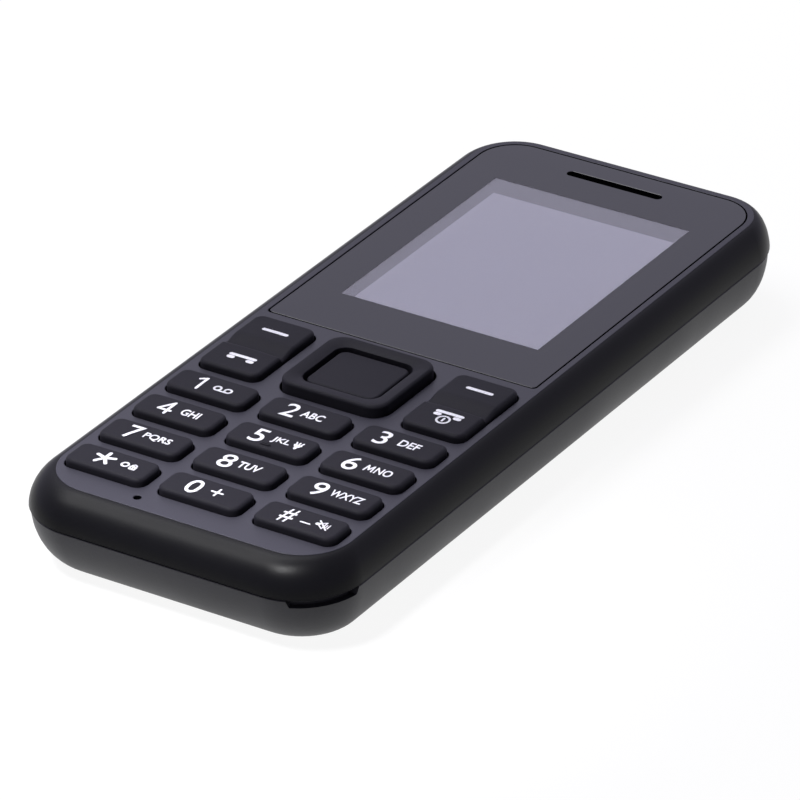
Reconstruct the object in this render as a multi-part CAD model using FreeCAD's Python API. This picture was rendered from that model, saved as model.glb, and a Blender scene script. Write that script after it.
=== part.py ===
import FreeCAD, Part
import math
import os

from FreeCAD import Vector

# A bar phone with a flat front, a colour display, a four-way navigation ring and a
# twelve-key number pad. Millimetres. The phone lies on its back: +Z is up out of the
# display, +Y runs towards the earpiece, +X is the right-hand side seen from the front.
# The origin is the middle of the footprint, on the table.

# ---- Body outline -----------------------------------------------------------------
body_width = 45.0
body_length = 108.0
deck_height = 11.5            # flat front plate above the table
parting_depth = 4.1           # seam of the two shells below the front plate

side_bulge = 2.5              # how far the flanks stand out past the front plate
lower_bulge = 3.7             # the same at the microphone end
upper_bulge = 1.8             # the same at the earpiece end
deck_corner_lower = 6.5       # corner radii of the front plate
deck_corner_upper = 6.0
body_corner_lower = 8.6       # corner radii of the widest outline
body_corner_upper = 8.9
deck_step = 0.3               # small upright edge round the front plate
deck_edge_bevel = 0.12
flank_fullness = 1.9          # 1 is a straight bevel, 2 is a quarter ellipse

cover_inset = 0.15            # the cover stands in from the housing at the seam
base_inset = 1.9              # the flat back stands in from the front plate outline
base_corner = 5.2
cover_fullness = 1.9

housing_wall = 1.1
deck_plate = 1.3
cover_wall = 1.0
cover_floor = 1.0
seam_gap = 0.05               # light gap of the seam

# ---- Clearances -------------------------------------------------------------------
key_gap = 0.2                 # round each key in its hole
nav_gap = 0.3                 # round the navigation ring in its hole
nav_key_gap = 0.5             # between the ring and the key inside it
seat_gap = 0.05               # between pieces fixed to each other
part_gap = 0.2                # between the battery, its well and the cover
flange_gap = 0.1              # between a key's collar and the underside of the plate

# ---- Display side -----------------------------------------------------------------
lens_rim = 1.0                # housing rim left round the lens
nav_to_lens = 2.5             # front plate left between the ring and the lens
lens_thickness = 0.95
lens_gap = 0.2
lens_corner = 0.6
tape_thickness = 0.15
ledge_thickness = 0.6

screen_width = 28.3           # visible picture
screen_rise = 8.5             # from the lower edge of the lens
screen_drop = 10.4            # from the upper edge of the front plate
screen_border = 1.0           # housing window past the picture

ear_slot_length = 13.8
ear_slot_width = 1.2
ear_slot_setback = 6.6        # from the earpiece end

mic_x = -6.8
mic_setback = 5.8             # from the microphone end
mic_hole = 1.0

# ---- Keys -------------------------------------------------------------------------
key_length = 4.75
key_corner = 1.6
key_rise = 1.0                # above the front plate
key_edge = 0.5                # bevel round the cap's rim
key_margin = 1.2              # front plate left beside the outer keys
key_spacing = 2.05            # between neighbours in a row
key_pitch_y = 6.96
key_setback = 10.06           # middle of the bottom row from the microphone end
key_travel = 0.3
key_chords = 3                # straight runs in each corner of a key and its hole
pip_length = 1.4              # raised mark on key 5
pip_width = 0.5
pip_height = 0.15
pip_offset = -1.3             # from the middle of the key
collar_overhang = 0.3
collar_thickness = 0.6
plunger_size = 2.4

rocker_length = 13.6
rocker_margin = 1.3           # front plate left beside a rocker
rocker_spacing = 2.7          # between a rocker and the ring
rocker_valley = 0.55          # depth of the hollow between the two pads
rocker_valley_length = 3.2
rocker_edge = 0.5
rocker_crown = 0.12           # rise of each pad's middle

nav_width = 14.8
nav_length = 13.5
nav_corner = 2.6
nav_rise = 1.4
nav_edge = 0.6
nav_pitch = 11.35             # from the top row of keys to the ring and the rockers
nav_dish = 0.35               # fall of the ring's top towards the middle key
select_width = 9.9            # middle key
select_length = 8.7
select_corner = 1.2
select_rise = 0.9
select_edge = 0.2

# ---- Inside -----------------------------------------------------------------------
board_depth = 3.8             # board below the front plate
board_thickness = 0.8
board_inset = 1.6             # board edge in from the widest outline
board_notch_gap = 0.2         # board cut-outs round the sockets
dome_sheet_thickness = 0.1
dome_size = 3.0               # four-legged snap domes
dome_rise = 0.25
mat_thickness = 0.25          # rubber web under the keys
mat_clearance = 0.25          # web over the domes
mat_rim = 0.8
mat_margin = 0.1              # web and dome sheet past the outer keys
nav_pad_width = 13.2          # rubber pad that carries the navigation ring
nav_pad_length = 12.0
nav_pad_thickness = 0.5
nav_foot = 1.0                # feet on the hinge lines of the ring and its pad
select_neck_width = 3.6
select_neck_length = 4.6

display_border = 2.65         # frame beside the visible picture
display_rise = 1.2            # from the lower edge of the lens
display_drop = 8.0            # from the upper edge of the front plate
display_frame_wall = 0.9
gasket_thickness = 0.3
gasket_width = 1.0
glass_thickness = 0.7
flex_width = 12.0
flex_length = 2.6
flex_thickness = 0.2
flex_plug_height = 0.9

battery_side_room = 5.2       # beside the battery, inside the widest outline
battery_corner = 1.5
lower_bay = 31.8              # from the microphone end to the battery well
upper_bay = 29.8              # from the earpiece end to the battery well

chassis_plate = 0.6           # floor of the battery well
chassis_wall = 1.0
chassis_skin = 0.7            # floor of the hollows at both ends
can_height = 0.9
can_wall = 0.2
can_width = 26.0
power_can_length = 14.0
power_can_setback = 40.0      # from the earpiece end
radio_can_length = 17.0
radio_can_setback = 19.5      # from the microphone end
sim_width = 26.0
sim_length = 15.5
sim_height = 1.6
sim_setback = 42.0            # from the microphone end
sim_card_height = 0.85
sim_margin = 0.4

boss_size = 2.6               # square pillars that the screws pass through
boss_lower = (8.1, 5.4)       # from the side and the end of the widest outline
boss_upper = (6.1, 7.2)

connector_width = 9.8
connector_length = 2.7
connector_low_z = 2.0
contact_width = 1.0
contact_pitch = 2.6
contact_count = 3
contact_reach = 0.15

jack_x = 8.6
jack_depth = 6.0              # below the front plate
jack_bore = 1.8
jack_length = 14.0            # depth of the plug's bore
jack_back = 0.6
jack_body_width = 6.2
jack_body_height = 4.3
jack_nose_radius = 2.4
jack_nose_length = 1.2
usb_x = -9.6
usb_depth = 4.5               # below the front plate
usb_width = 7.5
usb_height = 2.45
usb_length = 5.4
usb_wall = 0.3
usb_corner = 0.7
usb_tongue_height = 0.6
usb_mouth_margin = 0.6
socket_setback = 1.5          # mouths of the sockets in from the earpiece end
torch_x = 0.0
torch_depth = 5.4             # below the front plate
torch_radius = 1.5
torch_length = 3.0

camera_setback = 12.5         # from the earpiece end
camera_size = 6.6
camera_barrel = 4.6
camera_window_radius = 3.0
camera_window_thickness = 0.65
camera_window_recess = 0.05
camera_view_radius = 2.0

speaker_x = -9.6
speaker_setback = 15.5        # from the earpiece end
speaker_width = 10.0
speaker_length = 15.0
speaker_height = 3.2
speaker_lip = 1.5
grille_slots = 5
grille_slot_length = 7.0
grille_slot_width = 0.8
grille_pitch = 1.8

receiver_width = 11.0
receiver_length = 6.0
receiver_port_depth = 1.2
mesh_margin = 0.6
mesh_thickness = 0.1
microphone_size = 2.8
microphone_height = 1.2
motor_side_room = 9.0         # from its axis to the widest outline
motor_setback = 1.8           # from the wall of the battery well
motor_radius = 4.0
motor_height = 2.8
antenna_width = 25.0
antenna_length = 5.0
antenna_setback = 9.4         # from the microphone end
antenna_taper = 2.0           # cut off its outer corners
antenna_wall = 0.9
antenna_headroom = 0.8        # under the radio's can

hook_width = 4.0              # snap hooks of the back cover
hook_reach = 0.6
hook_height = 0.8
hook_depth = 1.5              # below the seam
hook_lower_setback = 18.0     # from the microphone end
hook_middle_setback = 50.0
hook_upper_setback = 28.0     # from the earpiece end
hook_play = 0.3

nail_slot_height = 1.0
nail_slot_depth = 1.2
nail_slot_start = -69.0       # degrees round the lower right corner
nail_slot_end = -4.0

# ---- Worked-out levels ------------------------------------------------------------
parting_height = deck_height - parting_depth
shoulder_height = deck_height - deck_step
deck_underside = deck_height - deck_plate
board_top = deck_height - board_depth
board_bottom = board_top - board_thickness
lens_low_z = deck_height - lens_thickness
ledge_top = lens_low_z - tape_thickness
ledge_underside = ledge_top - ledge_thickness
display_top = ledge_underside - gasket_thickness
well_floor_top = board_bottom - can_height - part_gap
well_floor_low = well_floor_top - chassis_plate
battery_top_z = well_floor_low - part_gap
battery_low_z = cover_floor + part_gap
chassis_low_z = cover_floor + 1.5 * part_gap
hollow_low_z = chassis_low_z + chassis_skin
dome_sheet_top = board_top + dome_sheet_thickness
dome_top = dome_sheet_top + dome_rise
mat_height = dome_top + mat_clearance
plunger_low = dome_top + key_travel + seat_gap
collar_top = deck_underside - flange_gap
collar_low = collar_top - collar_thickness
nav_pad_top = plunger_low + nav_pad_thickness
nav_low_z = nav_pad_top + nav_gap
jack_z = deck_height - jack_depth
usb_z = deck_height - usb_depth
torch_z = deck_height - torch_depth
hook_low_z = parting_height - hook_depth

# ---- Worked-out places ------------------------------------------------------------
low_end = -body_length / 2
high_end = body_length / 2
deck_low_y = low_end + lower_bulge
deck_high_y = high_end - upper_bulge
deck_half_width = body_width / 2 - side_bulge
key_width = (2 * (deck_half_width - key_margin) - 2 * key_spacing) / 3
key_pitch_x = key_width + key_spacing
key_row_y = low_end + key_setback
nav_y = key_row_y + 3 * key_pitch_y + nav_pitch
rocker_width = deck_half_width - rocker_margin - rocker_spacing - nav_width / 2
rocker_x = (nav_width + rocker_width) / 2 + rocker_spacing
lens_half_width = deck_half_width - lens_rim
lens_low_y = nav_y + nav_length / 2 + nav_to_lens
lens_high_y = deck_high_y - lens_rim
lens_corner_upper = deck_corner_upper - lens_rim
display_width = screen_width + 2 * display_border
screen_low_y = lens_low_y + screen_rise
screen_high_y = deck_high_y - screen_drop
display_low_y = lens_low_y + display_rise
display_high_y = deck_high_y - display_drop
ear_slot_y = high_end - ear_slot_setback
mic_y = low_end + mic_setback
socket_mouth_y = high_end - socket_setback
camera_y = high_end - camera_setback
speaker_y = high_end - speaker_setback
antenna_y = low_end + antenna_setback
well_half_width = body_width / 2 - battery_side_room + part_gap
well_low_y = low_end + lower_bay
well_high_y = high_end - upper_bay
well_length = well_high_y - well_low_y
well_y = (well_low_y + well_high_y) / 2
sim_y = low_end + sim_setback
power_can_y = high_end - power_can_setback
radio_can_y = low_end + radio_can_setback
motor_x = body_width / 2 - motor_side_room
motor_y = well_high_y + chassis_wall + motor_setback + motor_radius
hook_places = (low_end + hook_lower_setback, low_end + hook_middle_setback,
               high_end - hook_upper_setback)
chassis_inset = cover_wall + part_gap
boss_places = [(side * (body_width / 2 - x), y) for side in (-1, 1)
               for x, y in ((boss_lower[0], low_end + boss_lower[1]),
                            (boss_upper[0], high_end - boss_upper[1]))]


# ---- Helpers ----------------------------------------------------------------------
def stepped(low, high, count):
    return [low + (high - low) * step / count for step in range(count + 1)]


def outline(half_width, low_y, high_y, corner_low, corner_high, z, x=0.0, chords=0):
    """Closed rounded rectangle with one corner radius at each end.

    With chords, each corner is that many straight runs, for what repeats.
    """
    radii = [(1, high_y, -1, corner_high, 0), (-1, high_y, -1, corner_high, 90),
             (-1, low_y, 1, corner_low, 180), (1, low_y, 1, corner_low, 270)]
    arcs = []
    for side, end_y, inward, radius, start in radii:
        centre = Vector(x + side * (half_width - radius), end_y + inward * radius, z)
        points = [centre + Vector(radius * math.cos(math.radians(start + turn)),
                                  radius * math.sin(math.radians(start + turn)), 0)
                  for turn in (stepped(0, 90, chords) if chords else (0, 45, 90))]
        arcs.append(points)
    if chords:
        corners = [point for points in arcs for point in points]
        return Part.makePolygon(corners + corners[:1])
    edges = []
    for index, points in enumerate(arcs):
        edges.append(Part.Arc(*points).toShape())
        following = arcs[(index + 1) % 4]
        edges.append(Part.LineSegment(points[2], following[0]).toShape())
    return Part.Wire(edges)


def plate(half_width, low_y, high_y, corner_low, corner_high, z_low, z_high, x=0.0, chords=0):
    """Upright block with a rounded outline."""
    wire = outline(half_width, low_y, high_y, corner_low, corner_high, z_low, x, chords)
    return Part.Face(wire).extrude(Vector(0, 0, z_high - z_low))


def pad(width, length, corner, z_low, z_high, x=0.0, y=0.0, chords=0):
    """Upright rounded block centred on x, y."""
    return plate(width / 2, y - length / 2, y + length / 2, corner, corner, z_low, z_high, x,
                 chords)


def box(x_low, x_high, y_low, y_high, z_low, z_high):
    return Part.makeBox(x_high - x_low, y_high - y_low, z_high - z_low,
                        Vector(x_low, y_low, z_low))


def post(radius, z_low, z_high, x, y):
    return Part.makeCylinder(radius, z_high - z_low, Vector(x, y, z_low))


def rod_along_y(radius, y_low, y_high, x, z):
    return Part.makeCylinder(radius, y_high - y_low, Vector(x, y_low, z), Vector(0, 1, 0))


def slot_along_x(length, width, z_low, z_high, x, y):
    return pad(length, width, width / 2 - 0.001, z_low, z_high, x, y)


def swell(share, fullness):
    """0 at the rim to 1 at the seam, along a superellipse."""
    return (1 - (1 - share) ** fullness) ** (1 / fullness)


def joined(shapes):
    first, rest = shapes[0], shapes[1:]
    return first.fuse(rest).removeSplitter() if rest else first


def edges_at(shape, z, tolerance=0.001):
    """Edges lying wholly in the level z."""
    found = []
    for edge in shape.Edges:
        bounds = edge.BoundBox
        if abs(bounds.ZMin - z) < tolerance and abs(bounds.ZMax - z) < tolerance:
            found.append(edge)
    return found


def block(width, length, z_low, z_high, x=0.0, y=0.0):
    """Upright square-cornered block centred on x, y."""
    return box(x - width / 2, x + width / 2, y - length / 2, y + length / 2, z_low, z_high)


def cap_block(width, length, corner, edge, z_low, z_top, x, y):
    """Key cap with an eased rim."""
    cap = pad(width, length, corner, z_low, z_top, x, y, key_chords)
    return cap.makeChamfer(edge, edges_at(cap, z_top))


def save(name, shape):
    shape.exportStep(os.path.join("parts", name + ".step"))


# ---- Outer form of the two shells -------------------------------------------------
def housing_section(z, inset=0.0):
    """Outline values of the front housing's flank at height z."""
    share = (shoulder_height - z) / (shoulder_height - parting_height)
    out = swell(min(max(share, 0.0), 1.0), flank_fullness)
    return (deck_half_width + side_bulge * out - inset,
            deck_low_y - lower_bulge * out + inset,
            deck_high_y + upper_bulge * out - inset,
            deck_corner_lower + (body_corner_lower - deck_corner_lower) * out - inset,
            deck_corner_upper + (body_corner_upper - deck_corner_upper) * out - inset)


def cover_section(z, inset=0.0):
    """Outline values of the back cover's flank at height z."""
    drop = (parting_height - z) / parting_height
    out = (1 - min(max(drop, 0.0), 1.0) ** cover_fullness) ** (1 / cover_fullness)
    side = side_bulge + base_inset - cover_inset
    lower = lower_bulge + base_inset - cover_inset
    upper = upper_bulge + base_inset - cover_inset
    return (deck_half_width - base_inset + side * out - inset,
            deck_low_y + base_inset - lower * out + inset,
            deck_high_y - base_inset + upper * out - inset,
            base_corner + (body_corner_lower - base_corner) * out - inset,
            base_corner + (body_corner_upper - base_corner) * out - inset)


def lofted(section, heights, inset=0.0):
    wires = [outline(*section(z, inset), z) for z in heights]
    return Part.makeLoft(wires, True, True)


def rounded_heights(low, high, count):
    """Heights from high down to low, closer together where the flank turns under."""
    angles = stepped(0.0, 90.0, count)
    return [high - (high - low) * math.sin(math.radians(angle)) for angle in angles]


# ---- Key places -------------------------------------------------------------------
key_rows = [["key_star", "key_0", "key_hash"],
            ["key_7", "key_8", "key_9"],
            ["key_4", "key_5", "key_6"],
            ["key_1", "key_2", "key_3"]]
key_places = {}
for row, names in enumerate(key_rows):
    for column, name in enumerate(names):
        key_places[name] = ((column - 1) * key_pitch_x, key_row_y + row * key_pitch_y)
rocker_places = {"left_rocker_key": -rocker_x, "right_rocker_key": rocker_x}
rocker_plunger_y = rocker_length / 4 + rocker_valley_length / 8
nav_dome_x = (nav_pad_width - dome_size) / 2
nav_dome_y = (nav_pad_length - dome_size) / 2
key_field_half = key_pitch_x + key_width / 2 + mat_margin
key_field_low = key_row_y - key_length / 2 - mat_margin
key_field_high = nav_y + rocker_length / 2 + mat_margin


def dome_places():
    places = list(key_places.values())
    for x in rocker_places.values():
        places += [(x, nav_y - rocker_plunger_y), (x, nav_y + rocker_plunger_y)]
    places += [(0, nav_y), (-nav_dome_x, nav_y), (nav_dome_x, nav_y),
               (0, nav_y - nav_dome_y), (0, nav_y + nav_dome_y)]
    return places


# ---- Front housing ----------------------------------------------------------------
def key_hole(width, length, corner, gap, x, y):
    """Cutter for a key's hole through the front plate."""
    return pad(width + 2 * gap, length + 2 * gap, corner + gap,
               deck_underside - 1, deck_height + 1, x, y, key_chords)


def end_openings():
    """Cutters for the two sockets and the torch in the earpiece end."""
    start = socket_mouth_y - jack_nose_length - part_gap
    reach = body_length / 2 + 1
    jack = rod_along_y(jack_nose_radius + part_gap, start, reach, jack_x, jack_z)
    half_width = usb_width / 2 + usb_mouth_margin
    half_height = usb_height / 2 + usb_mouth_margin
    usb = box(usb_x - half_width, usb_x + half_width, start, reach,
              usb_z - half_height, usb_z + half_height)
    usb = usb.makeFillet(usb_corner, [edge for edge in usb.Edges if edge.BoundBox.YLength > 1])
    torch = rod_along_y(torch_radius + seat_gap, start, reach, torch_x, torch_z)
    return [jack, usb, torch]


def screen_window(z_low, z_high, margin):
    """Upright block over the visible picture."""
    half = screen_width / 2 + margin
    return box(-half, half, screen_low_y - margin, screen_high_y + margin, z_low, z_high)


def ear_slot(z_low, z_high, margin=0.0):
    return slot_along_x(ear_slot_length + 2 * margin, ear_slot_width + 2 * margin,
                        z_low, z_high, 0, ear_slot_y)


def display_ledge():
    """Frame moulded under the front plate that carries the lens."""
    inset = housing_wall / 2
    frame = plate(deck_half_width - inset, lens_low_y - housing_wall, deck_high_y - inset,
                  lens_corner, deck_corner_upper, ledge_underside, ledge_top)
    return frame


def front_housing():
    flank = lofted(housing_section, stepped(parting_height + seam_gap, shoulder_height, 5))
    deck = plate(deck_half_width, deck_low_y, deck_high_y, deck_corner_lower, deck_corner_upper,
                 shoulder_height - deck_step, deck_height)
    deck = deck.makeChamfer(deck_edge_bevel, edges_at(deck, deck_height))
    cavity = lofted(housing_section, stepped(parting_height + seam_gap, deck_underside, 2),
                    housing_wall)
    bosses = [block(boss_size, boss_size, board_top, deck_underside + seat_gap, x, y)
              for x, y in boss_places]
    shell = flank.fuse(deck).cut(cavity).fuse([display_ledge()] + bosses)

    holes = [key_hole(key_width, key_length, key_corner, key_gap, x, y)
             for x, y in key_places.values()]
    holes += [key_hole(rocker_width, rocker_length, key_corner, key_gap, x, nav_y)
              for x in rocker_places.values()]
    holes.append(key_hole(nav_width, nav_length, nav_corner, nav_gap, 0, nav_y))
    holes.append(post(mic_hole / 2, deck_underside - 1, deck_height + 1, mic_x, mic_y))
    holes.append(plate(lens_half_width + lens_gap, lens_low_y - lens_gap, lens_high_y + lens_gap,
                       lens_corner, lens_corner_upper + lens_gap, ledge_top, deck_height + 1))
    holes.append(screen_window(ledge_underside - 1, ledge_top + 1, screen_border))
    holes.append(ear_slot(ledge_underside - 1, ledge_top + 1))
    return shell.cut(holes + end_openings()).removeSplitter()


# ---- Display ----------------------------------------------------------------------
def display_lens():
    lens = plate(lens_half_width, lens_low_y, lens_high_y, lens_corner, lens_corner_upper,
                 lens_low_z, deck_height)
    return lens.cut(ear_slot(lens_low_z - 1, deck_height + 1))


def lens_tape():
    tape = plate(lens_half_width, lens_low_y, lens_high_y, lens_corner, lens_corner_upper,
                 ledge_top, lens_low_z)
    return tape.cut([screen_window(ledge_top - 1, lens_low_z + 1, screen_border),
                     mesh_block(ledge_top - 1, lens_low_z + 1, seat_gap)])


def mesh_block(z_low, z_high, gap=0.0):
    margin = 2 * (mesh_margin + gap)
    return block(ear_slot_length + margin, ear_slot_width + margin, z_low, z_high, 0, ear_slot_y)


def earpiece_mesh():
    return mesh_block(ledge_top, ledge_top + mesh_thickness)


def screen_gasket():
    outer = screen_window(display_top, ledge_underside, screen_border + gasket_width)
    return outer.cut(screen_window(display_top - 1, ledge_underside + 1, screen_border))


def lcd_frame():
    """Light box of the display, with a seat for the glass."""
    half = display_width / 2
    body = box(-half, half, display_low_y, display_high_y,
               board_top + seat_gap, display_top - seat_gap)
    inner = half - display_frame_wall
    return body.cut(box(-inner, inner, display_low_y + display_frame_wall,
                        display_high_y - display_frame_wall,
                        display_top - glass_thickness, display_top))


def lcd_panel():
    inset = display_frame_wall + seat_gap
    half = display_width / 2 - inset
    return box(-half, half, display_low_y + inset, display_high_y - inset,
               display_top - glass_thickness, display_top)


def display_flex():
    """Printed ribbon from the display's lower edge to its plug on the board."""
    high = display_low_y - seat_gap
    low = high - flex_length
    ribbon = box(-flex_width / 2, flex_width / 2, low, high,
                 board_top + flex_plug_height, board_top + flex_plug_height + flex_thickness)
    plug = box(-flex_width / 2, flex_width / 2, low, low + flex_length / 2,
               board_top, board_top + flex_plug_height)
    return joined([ribbon, plug])


# ---- Keys -------------------------------------------------------------------------
def keycap(name, x, y):
    """Cap with a rounded rim, a collar under the plate and a plunger."""
    top = deck_height + key_rise
    cap = cap_block(key_width, key_length, key_corner, key_edge, collar_low, top, x, y)
    collar = block(key_width + 2 * collar_overhang, key_length + 2 * collar_overhang,
                   collar_low, collar_top, x, y)
    plunger = block(plunger_size, plunger_size, plunger_low, collar_low + seat_gap, x, y)
    solids = [cap, collar, plunger]
    if name == "key_5":
        pip = block(pip_length, pip_width, top - pip_height, top + pip_height, x, y + pip_offset)
        solids.append(pip.makeChamfer(pip_height * 0.8, edges_at(pip, top + pip_height)))
    return joined(solids)


def rocker_profile(z_low, z_high):
    """Side view of a rocker: two crowned pads with a smooth hollow between them."""
    half = rocker_length / 2
    lip = rocker_valley_length / 2
    crest = (half + lip) / 2
    shoulder = z_high - rocker_crown

    def at(y, z):
        return Vector(0, nav_y + y, z)

    edges = [Part.LineSegment(at(-half, z_low), at(half, z_low)).toShape(),
             Part.LineSegment(at(half, z_low), at(half, shoulder)).toShape(),
             Part.Arc(at(half, shoulder), at(crest, z_high), at(lip, shoulder)).toShape(),
             Part.Arc(at(lip, shoulder), at(0, z_high - rocker_valley),
                      at(-lip, shoulder)).toShape(),
             Part.Arc(at(-lip, shoulder), at(-crest, z_high), at(-half, shoulder)).toShape(),
             Part.LineSegment(at(-half, shoulder), at(-half, z_low)).toShape()]
    return Part.Face(Part.Wire(edges))


def rocker_key(x):
    """One cap for two functions, tilting about the hollow in its middle."""
    top = deck_height + key_rise
    blank = cap_block(rocker_width, rocker_length, key_corner, rocker_edge, collar_low, top,
                      x, nav_y)
    form = rocker_profile(collar_low, top).extrude(Vector(rocker_width + 2, 0, 0))
    form.translate(Vector(x - rocker_width / 2 - 1, 0, 0))
    collar = block(rocker_width + 2 * collar_overhang, rocker_valley_length, collar_low, collar_top,
                   x, nav_y)
    plungers = [block(plunger_size, plunger_size, plunger_low, collar_low + seat_gap,
                      x, nav_y + side * rocker_plunger_y) for side in (-1, 1)]
    return joined([blank.common(form), collar] + plungers)


def nav_pad():
    """Rubber pad over four domes; it tilts on two feet beside the middle dome."""
    frame = block(nav_pad_width, nav_pad_length, plunger_low, nav_pad_top, 0, nav_y)
    window = block(select_neck_width + 2 * key_gap, select_neck_length + 2 * key_gap,
                   plunger_low - 1, nav_pad_top + 1, 0, nav_y)
    feet = [block(nav_foot, nav_foot, dome_sheet_top + seat_gap, plunger_low + seat_gap,
                  side * nav_dome_x / 2, nav_y) for side in (-1, 1)]
    return joined([frame.cut(window)] + feet)


def nav_ring():
    """Four-way ring whose top falls gently towards the middle key."""
    top = deck_height + nav_rise
    ring = cap_block(nav_width, nav_length, nav_corner, nav_edge, nav_low_z, top, 0, nav_y)
    hole_width = select_width + 2 * nav_key_gap
    hole_length = select_length + 2 * nav_key_gap
    hole_corner = select_corner + nav_key_gap
    hole = pad(hole_width, hole_length, hole_corner, nav_low_z - 1, top + 1, 0, nav_y, key_chords)
    fall_width = (nav_width - hole_width) / 2 - nav_edge
    fall_length = (nav_length - hole_length) / 2 - nav_edge
    dish = Part.makeLoft(
        [outline(hole_width / 2 + out_x, nav_y - hole_length / 2 - out_y,
                 nav_y + hole_length / 2 + out_y, hole_corner, hole_corner, z, 0, key_chords)
         for out_x, out_y, z in ((0, 0, top - nav_dish), (fall_width, fall_length, top))],
        True, True)
    foot_y = (hole_length + nav_pad_length) / 4
    feet = [block(nav_foot, nav_foot, nav_pad_top + seat_gap,
                  nav_low_z + seat_gap, 0, nav_y + side * foot_y) for side in (-1, 1)]
    return joined([ring.cut([dish, hole])] + feet)


def nav_select_key():
    top = deck_height + select_rise
    shelf = nav_low_z + key_travel
    cap = cap_block(select_width, select_length, select_corner, select_edge, shelf, top, 0, nav_y)
    neck = block(select_neck_width, select_neck_length, nav_pad_top - nav_pad_thickness / 2,
                 shelf + seat_gap, 0, nav_y)
    plunger = block(plunger_size, plunger_size, plunger_low, shelf, 0, nav_y)
    return joined([cap, neck, plunger])


def dome_sheet():
    """Clear sheet that holds a snap dome under every key."""
    sheet = box(-key_field_half, key_field_half, key_field_low, key_field_high,
                board_top, dome_sheet_top)
    domes = [block(dome_size, dome_size, dome_sheet_top - seat_gap, dome_top, x, y)
             for x, y in dome_places()]
    return joined([sheet] + domes)


def keypad_mat():
    """Rubber web with a rim that stands on the dome sheet."""
    high = mat_height + mat_thickness
    web = box(-key_field_half, key_field_half, key_field_low, key_field_high, dome_sheet_top, high)
    inner = key_field_half - mat_rim
    cuts = [box(-inner, inner, key_field_low + mat_rim, key_field_high - mat_rim,
                dome_sheet_top - 1, mat_height)]
    window = plunger_size + 2 * nav_gap
    cuts += [block(window, window, mat_height - 1, high + 1, x, y)
             for x, y in dome_places()[:len(key_places) + 2 * len(rocker_places)]]
    cuts.append(block(nav_pad_width + 4 * nav_gap, nav_pad_length + 4 * nav_gap,
                      mat_height - 1, high + 1, 0, nav_y))
    return web.cut(cuts)


# ---- Board and what is on it ------------------------------------------------------
def main_board():
    board = plate(*housing_section(parting_height, board_inset), board_bottom, board_top)
    gap = board_notch_gap
    notches = []
    for x, width, length in ((jack_x, jack_body_width, jack_length + jack_back),
                             (usb_x, usb_width, usb_length),
                           (torch_x, 2 * torch_radius, torch_length)):
        notches.append(box(x - width / 2 - gap, x + width / 2 + gap, socket_mouth_y - length - gap,
                           body_length / 2, board_bottom - 1, board_top + 1))
    return board.cut(notches)


def shield_can(length, y):
    """Thin metal lid soldered under the board."""
    low = board_bottom - can_height
    can = block(can_width, length, low, board_bottom, 0, y)
    return can.cut(block(can_width - 2 * can_wall, length - 2 * can_wall, low + can_wall,
                         board_bottom, 0, y))


def sim_holder():
    """Tray for the card, with a window that shows its middle."""
    low = board_bottom - sim_height
    holder = block(sim_width, sim_length, low, board_bottom, 0, sim_y)
    card = box(-sim_width / 2 + sim_margin, sim_width / 2 - sim_margin,
               sim_y - sim_length / 2 + sim_margin, sim_y + sim_length,
               low + sim_margin, low + sim_margin + sim_card_height)
    window = box(-sim_width / 4, sim_width / 4, sim_y - sim_length / 4, sim_y + sim_length,
                 low - 1, low + sim_margin + seat_gap)
    return holder.cut([card, window])


def battery_connector():
    low_y = well_high_y
    body = box(-connector_width / 2, connector_width / 2, low_y, low_y + connector_length,
               connector_low_z, board_bottom)
    middle_z = (battery_low_z + battery_top_z) / 2
    contacts = []
    for index in range(contact_count):
        x = (index - (contact_count - 1) / 2) * contact_pitch
        contacts.append(box(x - contact_width / 2, x + contact_width / 2,
                            low_y - contact_reach, low_y + seat_gap,
                            middle_z - contact_width, middle_z + contact_width))
    return joined([body] + contacts)


def audio_jack():
    """Barrel socket for a 3.5 mm headphone plug, open at the earpiece end."""
    deep_y = socket_mouth_y - jack_length
    shoulder_y = socket_mouth_y - jack_nose_length
    half_width = jack_body_width / 2
    half_height = jack_body_height / 2
    body = box(jack_x - half_width, jack_x + half_width, deep_y - jack_back, shoulder_y,
               jack_z - half_height, jack_z + half_height)
    nose = rod_along_y(jack_nose_radius, shoulder_y - seat_gap, socket_mouth_y, jack_x, jack_z)
    bore = rod_along_y(jack_bore, deep_y, socket_mouth_y + 1, jack_x, jack_z)
    return joined([body, nose]).cut(bore)


def micro_usb_socket():
    """Folded metal sleeve with a contact tongue, open at the earpiece end."""
    low_y = socket_mouth_y - usb_length
    half = usb_width / 2

    def sleeve(margin, y_low, y_high):
        block = box(usb_x - half + margin, usb_x + half - margin, y_low, y_high,
                    usb_z - usb_height / 2 + margin, usb_z + usb_height / 2 - margin)
        lower = [edge for edge in block.Edges
                 if edge.BoundBox.YLength > 1 and edge.BoundBox.ZMax < usb_z]
        return block.makeChamfer(usb_corner, lower)

    shell = sleeve(0.0, low_y, socket_mouth_y)
    mouth = sleeve(usb_wall, low_y + usb_wall, socket_mouth_y + 1)
    tongue_low = usb_z + usb_wall / 3
    tongue = box(usb_x - half + 4 * usb_wall, usb_x + half - 4 * usb_wall,
                 low_y + usb_wall / 2, socket_mouth_y - 2 * usb_wall,
                 tongue_low, tongue_low + usb_tongue_height)
    return joined([shell.cut(mouth), tongue])


def torch_led():
    """Clear-nosed lamp that shines out of the earpiece end."""
    low_y = socket_mouth_y - torch_length
    middle_y = socket_mouth_y - torch_length / 2
    body = box(torch_x - torch_radius, torch_x + torch_radius, low_y, middle_y,
               torch_z - torch_radius, torch_z + torch_radius)
    nose = rod_along_y(torch_radius, middle_y - seat_gap, socket_mouth_y, torch_x, torch_z)
    return joined([body, nose])


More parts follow.
